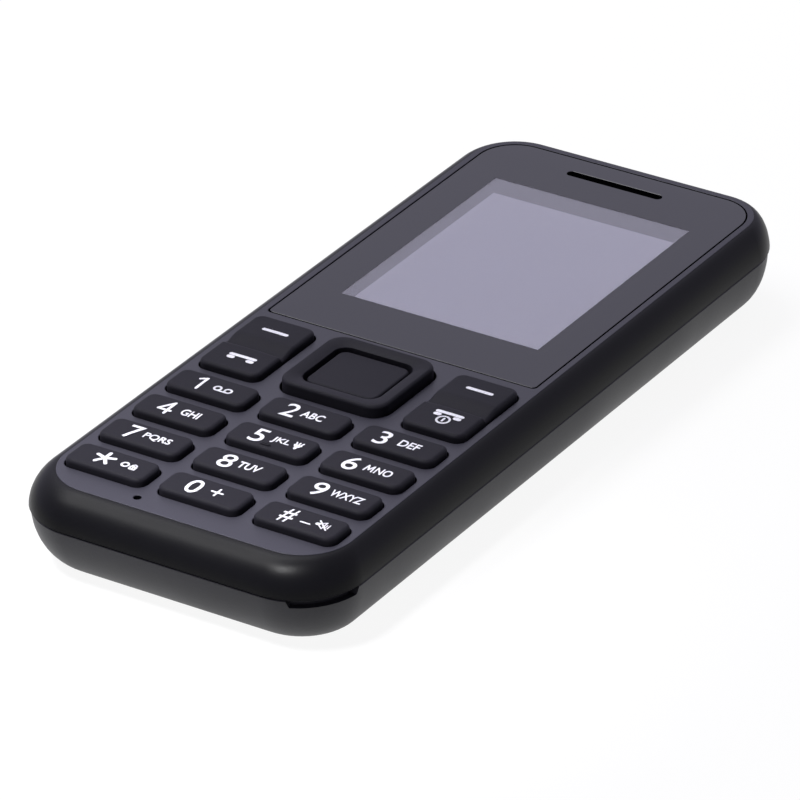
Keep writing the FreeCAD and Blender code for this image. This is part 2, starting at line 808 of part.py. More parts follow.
def camera_module():
    """Block whose lens barrel stands in the chassis floor behind the window."""
    base_z = hollow_low_z + seat_gap
    body = block(camera_size, camera_size, base_z, board_bottom, 0, camera_y)
    barrel = block(camera_barrel, camera_barrel, chassis_low_z, base_z + seat_gap, 0, camera_y)
    return joined([body, barrel])


def camera_window():
    return post(camera_window_radius - seat_gap, camera_window_recess,
                camera_window_recess + camera_window_thickness, 0, camera_y)


def loudspeaker():
    body = block(speaker_width, speaker_length, hollow_low_z, hollow_low_z + speaker_height,
                 speaker_x, speaker_y)
    cone = block(speaker_width - 2 * speaker_lip, speaker_length - 2 * speaker_lip, hollow_low_z,
                 hollow_low_z + speaker_height / 4, speaker_x, speaker_y)
    return body.cut(cone)


def earpiece_receiver():
    high = ledge_underside - seat_gap
    body = block(receiver_width, receiver_length, board_top, high, 0, ear_slot_y)
    return body.cut(block(receiver_width / 2, ear_slot_width, high - receiver_port_depth, high,
                          0, ear_slot_y))


def microphone():
    return block(microphone_size, microphone_size, board_top, board_top + microphone_height,
                 mic_x, mic_y)


def microphone_boot():
    low = board_top + microphone_height
    boot = block(microphone_size, microphone_size, low, deck_underside, mic_x, mic_y)
    return boot.cut(post(mic_hole / 2, low - 1, deck_underside + 1, mic_x, mic_y))


def vibration_motor():
    return post(motor_radius, board_bottom - motor_height, board_bottom, motor_x, motor_y)


# ---- Chassis, cover and battery ---------------------------------------------------
def antenna_carrier():
    """Moulded cradle along the microphone end."""
    half = antenna_width / 2
    far = antenna_y + antenna_length / 2
    near = antenna_y - antenna_length / 2
    cut = antenna_taper
    corners = [(-half, far), (-half, near + cut), (-half + cut, near), (half - cut, near),
               (half, near + cut), (half, far), (-half, far)]
    high = board_bottom - can_height - antenna_headroom
    wire = Part.makePolygon([Vector(x, y, hollow_low_z) for x, y in corners])
    body = Part.Face(wire).extrude(Vector(0, 0, high - hollow_low_z))
    pocket = box(-half + cut, half - cut, near + antenna_wall, far - antenna_wall,
                 hollow_low_z + antenna_wall, high)
    return body.cut(pocket)


def hook(side, y, play=0.0, z_low=hook_low_z):
    """Block inside the cover's flank; with play it is the groove it snaps into."""
    reach = body_width / 2 - cover_wall - hook_reach - play
    x_low, x_high = sorted((side * reach, side * (body_width / 2 - cover_wall / 2)))
    half = hook_width / 2 + play
    return box(x_low, x_high, y - half, y + half, z_low, hook_low_z + hook_height + play)


def mid_frame():
    """Chassis with the battery well and hollows for the parts under the board."""
    frame = lofted(cover_section, rounded_heights(chassis_low_z, board_bottom, 3), chassis_inset)
    hollow = lofted(cover_section, rounded_heights(hollow_low_z, board_bottom, 2),
                    chassis_inset + chassis_wall)
    well_shell = box(-well_half_width - chassis_wall, well_half_width + chassis_wall,
                     well_low_y - chassis_wall, well_high_y + chassis_wall, 0, well_floor_top)
    bosses = [block(boss_size, boss_size, hollow_low_z - seat_gap, board_bottom, x, y)
              for x, y in boss_places]
    frame = frame.cut(hollow.cut(well_shell)).fuse(bosses)

    cuts = [pad(2 * well_half_width, well_length, battery_corner, 0, well_floor_low, 0, well_y)]
    cuts.append(box(-connector_width / 2 - part_gap, connector_width / 2 + part_gap,
                    well_high_y - 1, well_high_y + connector_length + part_gap, 0, board_bottom))
    cuts.append(block(sim_width + 2 * part_gap, sim_length + 2 * part_gap, 0, board_bottom,
                      0, sim_y))
    cuts.append(block(speaker_width - 2 * speaker_lip, speaker_length - 2 * speaker_lip,
                      0, hollow_low_z + 1, speaker_x, speaker_y))
    opening = camera_barrel + 2 * part_gap
    cuts.append(block(opening, opening, 0, hollow_low_z + 1, 0, camera_y))
    cuts += [hook(side, y, hook_play, 0) for side in (-1, 1) for y in hook_places]
    half = jack_body_width / 2 + part_gap
    cuts.append(box(jack_x - half, jack_x + half, socket_mouth_y - 3, body_length / 2,
                    jack_z - jack_body_height / 2 - part_gap, board_bottom))
    frame = frame.cut(cuts + end_openings())
    return frame.removeSplitter()


def battery():
    return pad(2 * (well_half_width - part_gap), well_length - 2 * part_gap, battery_corner,
               battery_low_z, battery_top_z, 0, well_y)


def nail_slot():
    """Cutter for the thumb-nail slot that follows the lower right corner."""
    centre_x = body_width / 2 - body_corner_lower
    centre_y = -body_length / 2 + body_corner_lower
    low = parting_height - nail_slot_height
    sweep = nail_slot_end - nail_slot_start
    outer = Part.makeCylinder(body_corner_lower + 1, nail_slot_height + 1,
                              Vector(centre_x, centre_y, low), Vector(0, 0, 1), sweep)
    outer.rotate(Vector(centre_x, centre_y, low), Vector(0, 0, 1), nail_slot_start)
    inner = post(body_corner_lower - nail_slot_depth, low - 1, parting_height + 2,
                 centre_x, centre_y)
    return outer.cut(inner)


def back_cover():
    shell = lofted(cover_section, rounded_heights(0, parting_height, 6))
    inside = lofted(cover_section, rounded_heights(cover_floor, parting_height, 3), cover_wall)
    hooks = [hook(side, y) for side in (-1, 1) for y in hook_places]
    shell = shell.cut(inside).fuse(hooks)
    cuts = [nail_slot(),
            post(camera_window_radius, -1, camera_window_recess + camera_window_thickness,
                 0, camera_y),
            post(camera_view_radius, -1, cover_floor + 1, 0, camera_y)]
    for index in range(grille_slots):
        y = speaker_y + (index - (grille_slots - 1) / 2) * grille_pitch
        cuts.append(block(grille_slot_length, grille_slot_width, -1, cover_floor + 1, speaker_x, y))
    return shell.cut(cuts + end_openings()).removeSplitter()


# ---- Write every piece ------------------------------------------------------------
os.makedirs("parts", exist_ok=True)
for name, (x, y) in key_places.items():
    save(name, keycap(name, x, y))
for name, x in rocker_places.items():
    save(name, rocker_key(x))
save("power_shield_can", shield_can(power_can_length, power_can_y))
save("radio_shield_can", shield_can(radio_can_length, radio_can_y))
for piece in (front_housing, display_lens, lens_tape, earpiece_mesh, screen_gasket, lcd_frame,
              lcd_panel, display_flex, nav_pad, nav_ring, nav_select_key, dome_sheet, keypad_mat,
              main_board, sim_holder, battery_connector, audio_jack, micro_usb_socket, torch_led,
              camera_module, camera_window, loudspeaker, earpiece_receiver, microphone,
              microphone_boot, vibration_motor, antenna_carrier, mid_frame, battery, back_cover):
    save(piece.__name__, piece())
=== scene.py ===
# %% [markdown]
# # A bar phone with a number pad, dressed piece by piece
# The phone lies on its back. +Z is up out of the display, +Y runs towards the earpiece and +X is the
# right-hand side seen from the front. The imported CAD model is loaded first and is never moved: it gives the
# bodies that press, tilt and lift, and every piece made here rides on one of them. Sizes are written in
# millimetres and a mesh is turned to metres when it is finished.

# %% Load the CAD frame
import math

import bmesh
import bpy
from mathutils import Matrix, Vector


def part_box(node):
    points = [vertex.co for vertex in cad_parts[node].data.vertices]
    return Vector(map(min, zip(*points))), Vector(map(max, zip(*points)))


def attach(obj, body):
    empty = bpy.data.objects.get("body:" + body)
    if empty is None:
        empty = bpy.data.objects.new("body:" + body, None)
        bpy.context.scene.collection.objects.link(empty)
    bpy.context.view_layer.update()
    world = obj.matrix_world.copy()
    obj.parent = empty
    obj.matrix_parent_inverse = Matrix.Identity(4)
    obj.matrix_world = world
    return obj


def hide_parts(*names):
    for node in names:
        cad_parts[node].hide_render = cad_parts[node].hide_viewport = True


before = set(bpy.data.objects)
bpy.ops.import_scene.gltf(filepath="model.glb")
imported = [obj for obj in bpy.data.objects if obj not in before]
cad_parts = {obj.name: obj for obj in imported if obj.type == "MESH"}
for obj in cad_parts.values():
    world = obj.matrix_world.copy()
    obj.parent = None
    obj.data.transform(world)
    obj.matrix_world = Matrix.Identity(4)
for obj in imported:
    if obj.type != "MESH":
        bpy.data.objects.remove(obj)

MM = 0.001
scene = bpy.context.scene
scene.view_settings.view_transform = "Standard"
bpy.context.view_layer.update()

# %% [markdown]
# ## Camera
# A long lens far away keeps the phone's long edges almost parallel. The camera is placed by the direction
# that it looks from, its distance and the point that it looks at, and is rolled by about one degree.
# Building the three axes by hand gives the exact turn, where a Track To constraint couldn't hold the roll.

# %% Camera
AZIMUTH, ELEVATION, ROLL = 33.226, 29.115, -1.127   # degrees
DISTANCE, LOOK_AT = 843.27, Vector((-4.495, 4.217, 0))


def camera_axes():
    turn, rise, roll = (math.radians(angle) for angle in (AZIMUTH, ELEVATION, ROLL))
    back = Vector((math.sin(turn) * math.cos(rise), -math.cos(turn) * math.cos(rise), math.sin(rise)))
    right = Vector((math.cos(turn), math.sin(turn), 0))
    up = back.cross(right)
    return (math.cos(roll) * right + math.sin(roll) * up, math.cos(roll) * up - math.sin(roll) * right, back)


camera = bpy.data.objects.new("camera", bpy.data.cameras.new("camera"))
camera.data.sensor_width, camera.data.lens = 36, 310.93
camera.matrix_world = (Matrix.Translation((LOOK_AT + DISTANCE * camera_axes()[2]) * MM)
                       @ Matrix(camera_axes()).transposed().to_4x4())
scene.collection.objects.link(camera)
scene.camera = camera
print("camera at, mm:", [round(v / MM, 1) for v in camera.location])

# %% [markdown]
# ## One helper for nodes and one for colours
# Materials, the world and Geometry Nodes are all trees of nodes. One function adds any node, sets its
# properties and links its sockets. Colours are written as the sRGB hex values that a colour picker shows,
# and turned to the linear values that a shader works in.


# %% Node and colour helpers
def node(tree, kind, inputs=None, **settings):
    """Adds a node. inputs gives a socket, by its name or number, a number, a node or another socket."""
    made = tree.nodes.new(kind)
    for key, value in settings.items():
        setattr(made, key, value)
    for key, value in (inputs or {}).items():
        if isinstance(value, bpy.types.Node):
            value = value.outputs[0]
        if isinstance(value, bpy.types.NodeSocket):
            tree.links.new(value, made.inputs[key])
        else:
            made.inputs[key].default_value = value
    return made


def empty_tree(owner):
    """Empty node tree of a new material or world."""
    owner.use_nodes = True
    owner.node_tree.nodes.clear()
    return owner.node_tree


def colour(code):
    """Linear RGBA of an sRGB hex code."""
    parts = [int(code[i:i + 2], 16) / 255 for i in (0, 2, 4)]
    return [c / 12.92 if c <= 0.04045 else ((c + 0.055) / 1.055) ** 2.4 for c in parts] + [1]


def cells(size):
    """Noise scale at which one cell is that many millimetres across, on coordinates in metres."""
    return 1 / (size * MM)


print("a noise cell of 0.2 mm has scale", cells(0.2))

# %% [markdown]
# ## Studio: the floor
# The phone lies on white paper. Rays that look at the paper, straight or in a mirror, see it nearly plain
# white, and the matte rest of its look keeps the phone's shadow. The rays that carry light see ordinary
# matte paper, which lightens the underside of the back cover. Light Path's outputs tell the two sorts of
# ray apart.

# %% Floor
FLOOR_HALF = 3            # m, so wide that its edge is never in view
FLOOR_Z = -0.04 * MM      # a hair under the flat back, so that the two faces don't fight
PLAIN_SHARE = 0.86        # share of plain white in the paper that is looked at
PLAIN_WHITE = 1.06        # strength of that white
floor_mesh = bpy.data.meshes.new("floor")
floor_mesh.from_pydata([(x * FLOOR_HALF, y * FLOOR_HALF, FLOOR_Z)
                        for x, y in ((-1, -1), (1, -1), (1, 1), (-1, 1))], [], [(0, 1, 2, 3)])
floor = bpy.data.objects.new("floor", floor_mesh)
scene.collection.objects.link(floor)


def seen_rays(tree, *kinds):
    """1 for rays of these kinds and 0 for the others, which light the object."""
    rays = node(tree, "ShaderNodeLightPath")
    total = None
    for kind in kinds:
        ray = rays.outputs[f"Is {kind} Ray"]
        total = ray if total is None else node(tree, "ShaderNodeMath", {0: total, 1: ray},
                                               operation="MAXIMUM")
    return total


paper = bpy.data.materials.new("white_studio_paper")
tree = empty_tree(paper)
share = node(tree, "ShaderNodeMath", {0: seen_rays(tree, "Camera", "Glossy", "Transmission"), 1: PLAIN_SHARE},
             operation="MULTIPLY")
matte = node(tree, "ShaderNodeBsdfDiffuse", {"Color": colour("f2f2f4")})
white = node(tree, "ShaderNodeEmission", {"Color": (1, 1, 1, 1), "Strength": PLAIN_WHITE})
blend = node(tree, "ShaderNodeMixShader", {0: share, 1: matte, 2: white})
# The underside of the sheet is clear, so that the flat back can be looked at from below.
underside = node(tree, "ShaderNodeNewGeometry").outputs["Backfacing"]
nothing = node(tree, "ShaderNodeBsdfTransparent")
blend = node(tree, "ShaderNodeMixShader", {0: underside, 1: blend, 2: nothing})
node(tree, "ShaderNodeOutputMaterial", {0: blend})
floor_mesh.materials.append(paper)
print("white floor made")

# %% [markdown]
# ## Studio: the world
# A small black product shows what it mirrors more than its own colour, so mirrors see the same white
# surroundings as the camera. The light itself is uneven: a pale backdrop behind the phone and to its left
# shines on the flat top, and the rest of the room is dark, so the walls that face the camera get little of
# it. A Map Range on the angle to the backdrop's middle draws its soft edge.

# %% World
BACKDROP = (-0.61, 0.61, 0.51)               # the way to the middle of the pale backdrop
BACKDROP_EDGE, BACKDROP_FULL = 0.45, 0.85    # cosines of the angles from it where it begins and is full
DARK_ROOM = 0.015                            # level of the room where the backdrop has 1
world = bpy.data.worlds.new("studio")
scene.world = world
tree = empty_tree(world)
way = node(tree, "ShaderNodeTexCoord").outputs["Generated"]
facing = node(tree, "ShaderNodeVectorMath", {0: way, 1: BACKDROP}, operation="DOT_PRODUCT").outputs["Value"]
level = node(tree, "ShaderNodeMapRange", {"Value": facing, "From Min": BACKDROP_EDGE,
                                          "From Max": BACKDROP_FULL, "To Min": DARK_ROOM, "To Max": 1.0},
             interpolation_type="SMOOTHSTEP")
level = node(tree, "ShaderNodeMath", {0: level, 1: seen_rays(tree, "Camera", "Glossy", "Transmission")},
             operation="MAXIMUM")
# Daylight from a window is a little cool, and the background behind the phone is plain white.
tint = node(tree, "ShaderNodeMix", {"Factor": seen_rays(tree, "Camera"), 6: colour("ebe8ff"),
                                    7: (1, 1, 1, 1)}, data_type="RGBA").outputs[2]
sky = node(tree, "ShaderNodeBackground", {"Color": tint, "Strength": level})
node(tree, "ShaderNodeOutputWorld", {0: sky})
print("world made, with", len(tree.nodes), "nodes")

# %% [markdown]
# ## Studio: two lamps
# An oblong soft lamp hangs high on the left with its length along the phone, which gives the plain level
# and a long soft gleam on the shoulder. A small lamp with a snoot, a tube that narrows its beam, stands in
# front and draws the highlight on the rounded edge at the microphone end. Both are lamp objects, because a
# lamp's size sets how soft its shadow and its highlight are.


# %% Lamps
def softbox(name, place, length, width, watts):
    """Oblong lamp that looks at the middle of the phone and isn't seen itself. Its length lies along Y."""
    lamp = bpy.data.objects.new(name, bpy.data.lights.new(name, "AREA"))
    lamp.data.shape, lamp.data.size, lamp.data.size_y, lamp.data.energy = "RECTANGLE", length, width, watts
    lamp.location = place
    lamp.rotation_euler = Vector(place).to_track_quat("Z", "Y").to_euler()
    lamp.visible_camera = False
    scene.collection.objects.link(lamp)


softbox("overhead_softbox", (-0.27, 0.03, 0.48), length=0.5, width=0.18, watts=1.75)

SNOOT_PLACE, SNOOT_AIM = (-0.036, -0.137, 0.239), (-0.004, -0.056, 0.01)   # m
SNOOT_WATTS, SNOOT_BEAM, SNOOT_MOUTH = 5.5, 19, 0.035   # power, angle of the beam in degrees, radius in m
snoot = bpy.data.objects.new("snooted_lamp", bpy.data.lights.new("snooted_lamp", "SPOT"))
snoot.data.energy, snoot.data.shadow_soft_size = SNOOT_WATTS, SNOOT_MOUTH
snoot.data.spot_size, snoot.data.spot_blend = math.radians(SNOOT_BEAM), 1.0
snoot.location = SNOOT_PLACE
snoot.rotation_euler = (snoot.location - Vector(SNOOT_AIM)).to_track_quat("Z", "Y").to_euler()
scene.collection.objects.link(snoot)
print("lamps:", [light.name for light in bpy.data.lights])

# %% [markdown]
# ## Plastics
# Nearly everything outside is moulded ABS or polycarbonate from a spark-eroded mould, which leaves a fine
# grain that breaks up highlights. The finest real grain is too small to show from this far, so it is drawn
# 0.12 to 0.3 mm wide. One function makes such a plastic: a fine bump for the grain, a slow change of tone
# over a centimetre or so, and a little change of roughness where fingers polish it. The numbers for each
# one follow its own mould: coarser on the flanks, finer on the flat deck, silky on the keys.


# %% Moulded plastic
DRIFT = 14       # mm, the size of the slow changes of tone and gloss


def moulded_plastic(name, base, grain=0.2, depth=0.006, roughness=0.5, spread=0.08, tone=0.12, specular=0.5):
    """Plastic from a textured mould. grain and depth are the size and height of the mould's texture, mm."""
    made = bpy.data.materials.new(name)
    tree = empty_tree(made)
    place = node(tree, "ShaderNodeTexCoord").outputs["Object"]
    fine = node(tree, "ShaderNodeTexNoise", {"Vector": place, "Scale": cells(grain), "Detail": 2.0,
                                              "Roughness": 0.6})
    slow = node(tree, "ShaderNodeTexNoise", {"Vector": place, "Scale": cells(DRIFT), "Detail": 3.0})
    speck = node(tree, "ShaderNodeMapRange", {"Value": fine.outputs["Fac"], "From Min": 0.3, "From Max": 0.7,
                                              "To Min": 1 - tone, "To Max": 1 + tone})
    drift = node(tree, "ShaderNodeMapRange", {"Value": slow.outputs["Fac"], "To Min": 1 - tone / 2,
                                              "To Max": 1 + tone / 2})
    both = node(tree, "ShaderNodeMath", {0: speck, 1: drift}, operation="MULTIPLY")
    tint = node(tree, "ShaderNodeVectorMath", {0: colour(base)[:3], "Scale": both}, operation="SCALE")
    rough = node(tree, "ShaderNodeMapRange", {"Value": slow.outputs["Fac"], "From Min": 0.3, "From Max": 0.7,
                                              "To Min": roughness - spread / 2,
                                              "To Max": roughness + spread / 2})
    bump = node(tree, "ShaderNodeBump", {"Height": fine.outputs["Fac"], "Distance": depth * MM,
                                         "Strength": 1.0})
    shader = node(tree, "ShaderNodeBsdfPrincipled", {"Base Color": tint, "Roughness": rough, "Normal": bump,
                                                     "IOR": 1.52, "Specular IOR Level": specular})
    node(tree, "ShaderNodeOutputMaterial", {0: shader})
    return made


# The deck is the palest plastic outside and mirrors the studio softly; its even satin reads as a flat grey
# plane.
deck_plastic = moulded_plastic("satin_polycarbonate_deck", "2e2d37", grain=0.16, depth=0.003, roughness=0.42,
                               specular=0.27)
# The flank is the deck's plastic given a nearly black colour, which is painted shade for the sides that turn
# from the lamps; its spark-eroded grain breaks the front lamp's highlight into fine specks.
flank_plastic_painted_shade = moulded_plastic("grained_polycarbonate_flank", "060608", grain=0.3, depth=0.007,
                                roughness=0.35, specular=0.1)
# The cover is a shade paler than the flank with a deeper grain, and shows the white table that it curves
# down to.
cover_plastic = moulded_plastic("grained_polycarbonate_cover", "1a1a1f", grain=0.3, depth=0.01,
                                roughness=0.45, specular=0.33)
# Keys are darker than the deck round them and silky, so that the white print stands out.
key_plastic = moulded_plastic("silky_hard_coated_keys", "212026", grain=0.12, depth=0.002, roughness=0.5,
                              specular=0.06)
# Glass fibres lie just under the skin of the nylon chassis, which looks rough and dull for it.
chassis_plastic = moulded_plastic("glass_filled_nylon_chassis", "151517", grain=0.3, depth=0.012,
                                  roughness=0.6, specular=0.3)
# The small sockets and housings are a hard, fine-grained polymer with a plain sheen.
dark_plastic = moulded_plastic("black_liquid_crystal_polymer", "141414", grain=0.15, depth=0.003,
                               roughness=0.5)
# The key mat's silicone is grey and matte, as rubber that isn't polished is.
silicone = moulded_plastic("moulded_silicone_rubber", "9b9b9e", grain=0.4, depth=0.004, roughness=0.65)
# Foam is all small open dimples on a cut face and sends back almost no gleam.
foam = moulded_plastic("closed_cell_foam_tape", "161617", grain=0.25, depth=0.03, roughness=0.9, specular=0.2)
# The frame round the backlight is bright white, so that it throws the light back in.
white_plastic = moulded_plastic("white_backlight_frame", "dcdcda", grain=0.3, depth=0.003, roughness=0.5)
# Polyimide film is amber and fairly glossy.
amber_film = moulded_plastic("polyimide_flex_film", "c07a28", grain=0.5, depth=0.002, roughness=0.3)
print("materials so far:", len(bpy.data.materials))

# %% [markdown]
# ## Metals and laminate
# The parts inside are tinned or plated sheet and a green laminate with copper under its mask. One tree
# makes the metals: rolled sheet has streaks along one way, and plated contacts and screws have short marks
# instead. The laminate has a tree of its own and shows its tracks as faint lighter lines.


# %% Metals and laminate
MARK_DEPTH, TRACK_PITCH = 0.002, 4     # mm, of the rolling marks and between the laminate's tracks


def rolled_metal(name, base, roughness, streak=(0.08, 3.0, 0.5)):
    """Sheet metal whose rolling marks are long along Y. streak is their size along each axis, mm."""
    made = bpy.data.materials.new(name)
    tree = empty_tree(made)
    place = node(tree, "ShaderNodeTexCoord").outputs["Object"]
    stretched = node(tree, "ShaderNodeMapping", {"Vector": place, "Scale": [cells(size) for size in streak]})
    marks = node(tree, "ShaderNodeTexNoise", {"Vector": stretched, "Scale": 1.0, "Detail": 3.0})
    tone = node(tree, "ShaderNodeMapRange", {"Value": marks.outputs["Fac"], "To Min": 0.82, "To Max": 1.12})
    tint = node(tree, "ShaderNodeVectorMath", {0: colour(base)[:3], "Scale": tone}, operation="SCALE")
    rough = node(tree, "ShaderNodeMapRange", {"Value": marks.outputs["Fac"], "To Min": roughness - 0.08,
                                              "To Max": roughness + 0.08})
    bump = node(tree, "ShaderNodeBump", {"Height": marks.outputs["Fac"], "Distance": MARK_DEPTH * MM,
                                         "Strength": 1.0})
    shader = node(tree, "ShaderNodeBsdfPrincipled", {"Base Color": tint, "Roughness": rough, "Normal": bump,
                                                     "Metallic": 1.0})
    node(tree, "ShaderNodeOutputMaterial", {0: shader})
    return made


tinned_steel = rolled_metal("tinned_shield_steel", "c3beb4", 0.38)
plated_steel = rolled_metal("nickel_plated_steel", "c9c9cb", 0.22, (0.3, 2.0, 0.3))
gold_plate = rolled_metal("hard_gold_contacts", "d9ac55", 0.25, (0.2, 0.6, 0.2))
black_steel = rolled_metal("blackened_screw_steel", "5a5a5e", 0.35, (0.2, 0.2, 0.2))

laminate = bpy.data.materials.new("green_solder_mask_laminate")
tree = empty_tree(laminate)
place = node(tree, "ShaderNodeTexCoord").outputs["Object"]
square = node(tree, "ShaderNodeTexBrick", {"Vector": place, "Color1": colour("124a2c"),
                                           "Color2": colour("175a36"), "Mortar": colour("2f7a4c"),
                                           "Scale": cells(TRACK_PITCH), "Mortar Size": 0.012,
                                           "Mortar Smooth": 0.3})
shader = node(tree, "ShaderNodeBsdfPrincipled", {"Base Color": square, "Roughness": 0.35, "IOR": 1.5,
                                                 "Coat Weight": 0.4, "Coat Roughness": 0.15})
node(tree, "ShaderNodeOutputMaterial", {0: shader})
print("metals and laminate made")

# %% [markdown]
# ## Display stack
# The lens is a sheet of clear acrylic, flush with the deck. Its border is printed on the back in black, so
# the ink is seen through a millimetre of gloss. Behind the window lies the unlit display: a pale
# lavender-grey polariser that mirrors the white studio a little. Round its picture area the display is
# darker, and the picture area is set off-centre, so that this darker colour shows as a strip along the left
# and top edges of the window: painted shade, standing in for the shadow that the printed border throws on
# the display below it. A noise as fine as the display's dots and a slow one keep its grey from being flat.

# %% Display materials
PICTURE_SHADE_EDGES = (-12.0, 14.9, 5.2, 38.0)    # sides of the display's picture area: left, right, low and high, mm; set off-centre so that painted shade shows along the left and top
DOT_PITCH = 0.22                     # mm, the display's own
HAZE, FADE = 9, 30                   # mm, sizes of the acrylic's polish marks and of the display's slow fade

acrylic = bpy.data.materials.new("clear_hard_coated_acrylic")
tree = empty_tree(acrylic)
place = node(tree, "ShaderNodeTexCoord").outputs["Object"]
haze = node(tree, "ShaderNodeTexNoise", {"Vector": place, "Scale": cells(HAZE), "Detail": 2.0})
rough = node(tree, "ShaderNodeMapRange", {"Value": haze.outputs["Fac"], "To Min": 0.0, "To Max": 0.02})
shader = node(tree, "ShaderNodeBsdfPrincipled", {"Base Color": (1, 1, 1, 1), "Roughness": rough, "IOR": 1.49,
                                                 "Transmission Weight": 1.0})
node(tree, "ShaderNodeOutputMaterial", {0: shader})

# The print touches the back of the lens, so only its own dull blue-black shows under the gloss of the front.
ink = moulded_plastic("black_screen_printed_border", "0c0c14", grain=3.0, depth=0.0001, roughness=0.6,
                      tone=0.05, specular=0.0)
# Where ink lies right behind the acrylic, the two look like one deep gloss black, and are made as one.
printed_gloss = moulded_plastic("acrylic_over_black_print", "0c0c13", grain=4.0, depth=0.0002, roughness=0.07,
                                spread=0.04, tone=0.05)

polariser = bpy.data.materials.new("unlit_display_polariser")
tree = empty_tree(polariser)
place = node(tree, "ShaderNodeTexCoord").outputs["Object"]
axes = node(tree, "ShaderNodeSeparateXYZ", {0: place})
inside = None
for axis, low, high in ((0, PICTURE_SHADE_EDGES[0], PICTURE_SHADE_EDGES[1]), (1, PICTURE_SHADE_EDGES[2], PICTURE_SHADE_EDGES[3])):
    for limit, test in ((low, "GREATER_THAN"), (high, "LESS_THAN")):
        step = node(tree, "ShaderNodeMath", {0: axes.outputs[axis], 1: limit * MM}, operation=test)
        inside = step if inside is None else node(tree, "ShaderNodeMath", {0: inside, 1: step},
                                                  operation="MULTIPLY")
pixels = node(tree, "ShaderNodeTexNoise", {"Vector": place, "Scale": cells(DOT_PITCH), "Detail": 1.0})
fade = node(tree, "ShaderNodeTexNoise", {"Vector": place, "Scale": cells(FADE), "Detail": 1.0})
mix = node(tree, "ShaderNodeMath", {0: pixels.outputs["Fac"], 1: fade.outputs["Fac"]}, operation="ADD")
tone = node(tree, "ShaderNodeMapRange", {"Value": mix, "From Min": 0.6, "From Max": 1.4, "To Min": 0.93,
                                         "To Max": 1.07})
picture = node(tree, "ShaderNodeVectorMath", {0: colour("898895")[:3], "Scale": tone}, operation="SCALE")
# Outside the picture area the display gets a darker grey; along the left and top of the window this is
# painted shade.
tint = node(tree, "ShaderNodeMix", {"Factor": inside, 6: colour("45444e"), 7: picture}, data_type="RGBA")
shine = node(tree, "ShaderNodeMapRange", {"Value": fade.outputs["Fac"], "To Min": 0.025, "To Max": 0.045})
shader = node(tree, "ShaderNodeBsdfPrincipled", {"Base Color": tint.outputs[2], "Roughness": shine,
                                                 "IOR": 1.5, "Specular IOR Level": 0.35})
node(tree, "ShaderNodeOutputMaterial", {0: shader})
print("display materials made")

# %% [markdown]
# ## Building meshes
# A housing is a stack of outlines, each a rectangle with rounded corners, joined ring to ring. Holes are
# cut with the exact Boolean, whose cutters flare at the top so that every hole gets a small rounded rim.
# Weighted normals then keep the large flat faces flat beside those rims. Working in millimetres keeps the
# numbers readable.


# %% Mesh helpers
def outline(half, low, high, corner_low, corner_high, z, steps=14, x=0.0):
    """Ring of points round a rounded rectangle, anticlockwise from above, mm."""
    ring = []
    for side, end, inward, radius, start in ((1, high, -1, corner_high, 0), (-1, high, -1, corner_high, 90),
                                             (-1, low, 1, corner_low, 180), (1, low, 1, corner_low, 270)):
        for step in range(steps + 1):
            angle = math.radians(start + 90 * step / steps)
            ring.append((x + side * (half - radius) + radius * math.cos(angle),
                         end + inward * radius + radius * math.sin(angle), z))
    return ring


def loft(rings):
    """Closed mesh through rings of equal count, listed from the bottom up."""
    count = len(rings[0])
    points = [point for ring in rings for point in ring]
    faces = [list(range(count))[::-1], list(range(len(points) - count, len(points)))]
    for level in range(len(rings) - 1):
        for i in range(count):
            low, after = level * count + i, level * count + (i + 1) % count
            faces.append([low, after, after + count, low + count])
    mesh = bpy.data.meshes.new("loft")
    mesh.from_pydata(points, [], faces)
    return merged([mesh])


def merged(meshes):
    """One mesh of several closed ones that don't touch, each with its faces turned outwards."""
    build = bmesh.new()
    for mesh in meshes:
        build.from_mesh(mesh)
        bpy.data.meshes.remove(mesh)
    bmesh.ops.recalc_face_normals(build, faces=build.faces)
    mesh = bpy.data.meshes.new("merged")
    build.to_mesh(mesh)
    build.free()
    return mesh


def evaluated(thing):
    """Plain mesh of an object with its modifiers, which are then removed with the object."""
    mesh = bpy.data.meshes.new_from_object(thing.evaluated_get(bpy.context.evaluated_depsgraph_get()))
    bpy.data.objects.remove(thing)
    return mesh


def combined(base, tool, operation):
    """Result of cutting tool out of base (DIFFERENCE) or joining it on (UNION)."""
    pair = [bpy.data.objects.new("pair", mesh) for mesh in (base, tool)]
    for thing in pair:
        scene.collection.objects.link(thing)
    change = pair[0].modifiers.new("Boolean", "BOOLEAN")
    change.operation, change.solver, change.object = operation, "EXACT", pair[1]
    mesh = evaluated(pair[0])
    bpy.data.objects.remove(pair[1])
    return mesh


def finished(name, mesh, body, materials, replaces=(), sharp=32, scale=MM, weighted=True):
    """Links a mesh as a finished piece at the origin, smooth where it turns by less than sharp degrees."""
    if scale != 1:
        mesh.transform(Matrix.Scale(scale, 4))
    build = bmesh.new()
    build.from_mesh(mesh)
    bmesh.ops.remove_doubles(build, verts=build.verts, dist=1e-7)
    bmesh.ops.recalc_face_normals(build, faces=build.faces)
    build.to_mesh(mesh)
    build.free()
    mesh.shade_smooth()
    mesh.set_sharp_from_angle(angle=math.radians(sharp))
    piece = bpy.data.objects.new(name + "_rough", mesh)
    scene.collection.objects.link(piece)
    if weighted:
        change = piece.modifiers.new("Flat faces stay flat", "WEIGHTED_NORMAL")
        change.keep_sharp = True
    mesh = evaluated(piece)
    mesh.name = name
    mesh.materials.clear()
    for material in materials:
        mesh.materials.append(material)
    piece = bpy.data.objects.new(name, mesh)
    scene.collection.objects.link(piece)
    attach(piece, body)
    if replaces:
        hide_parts(*replaces)
    print(f"{name}: {len(mesh.polygons)} faces on {body}")
    return piece


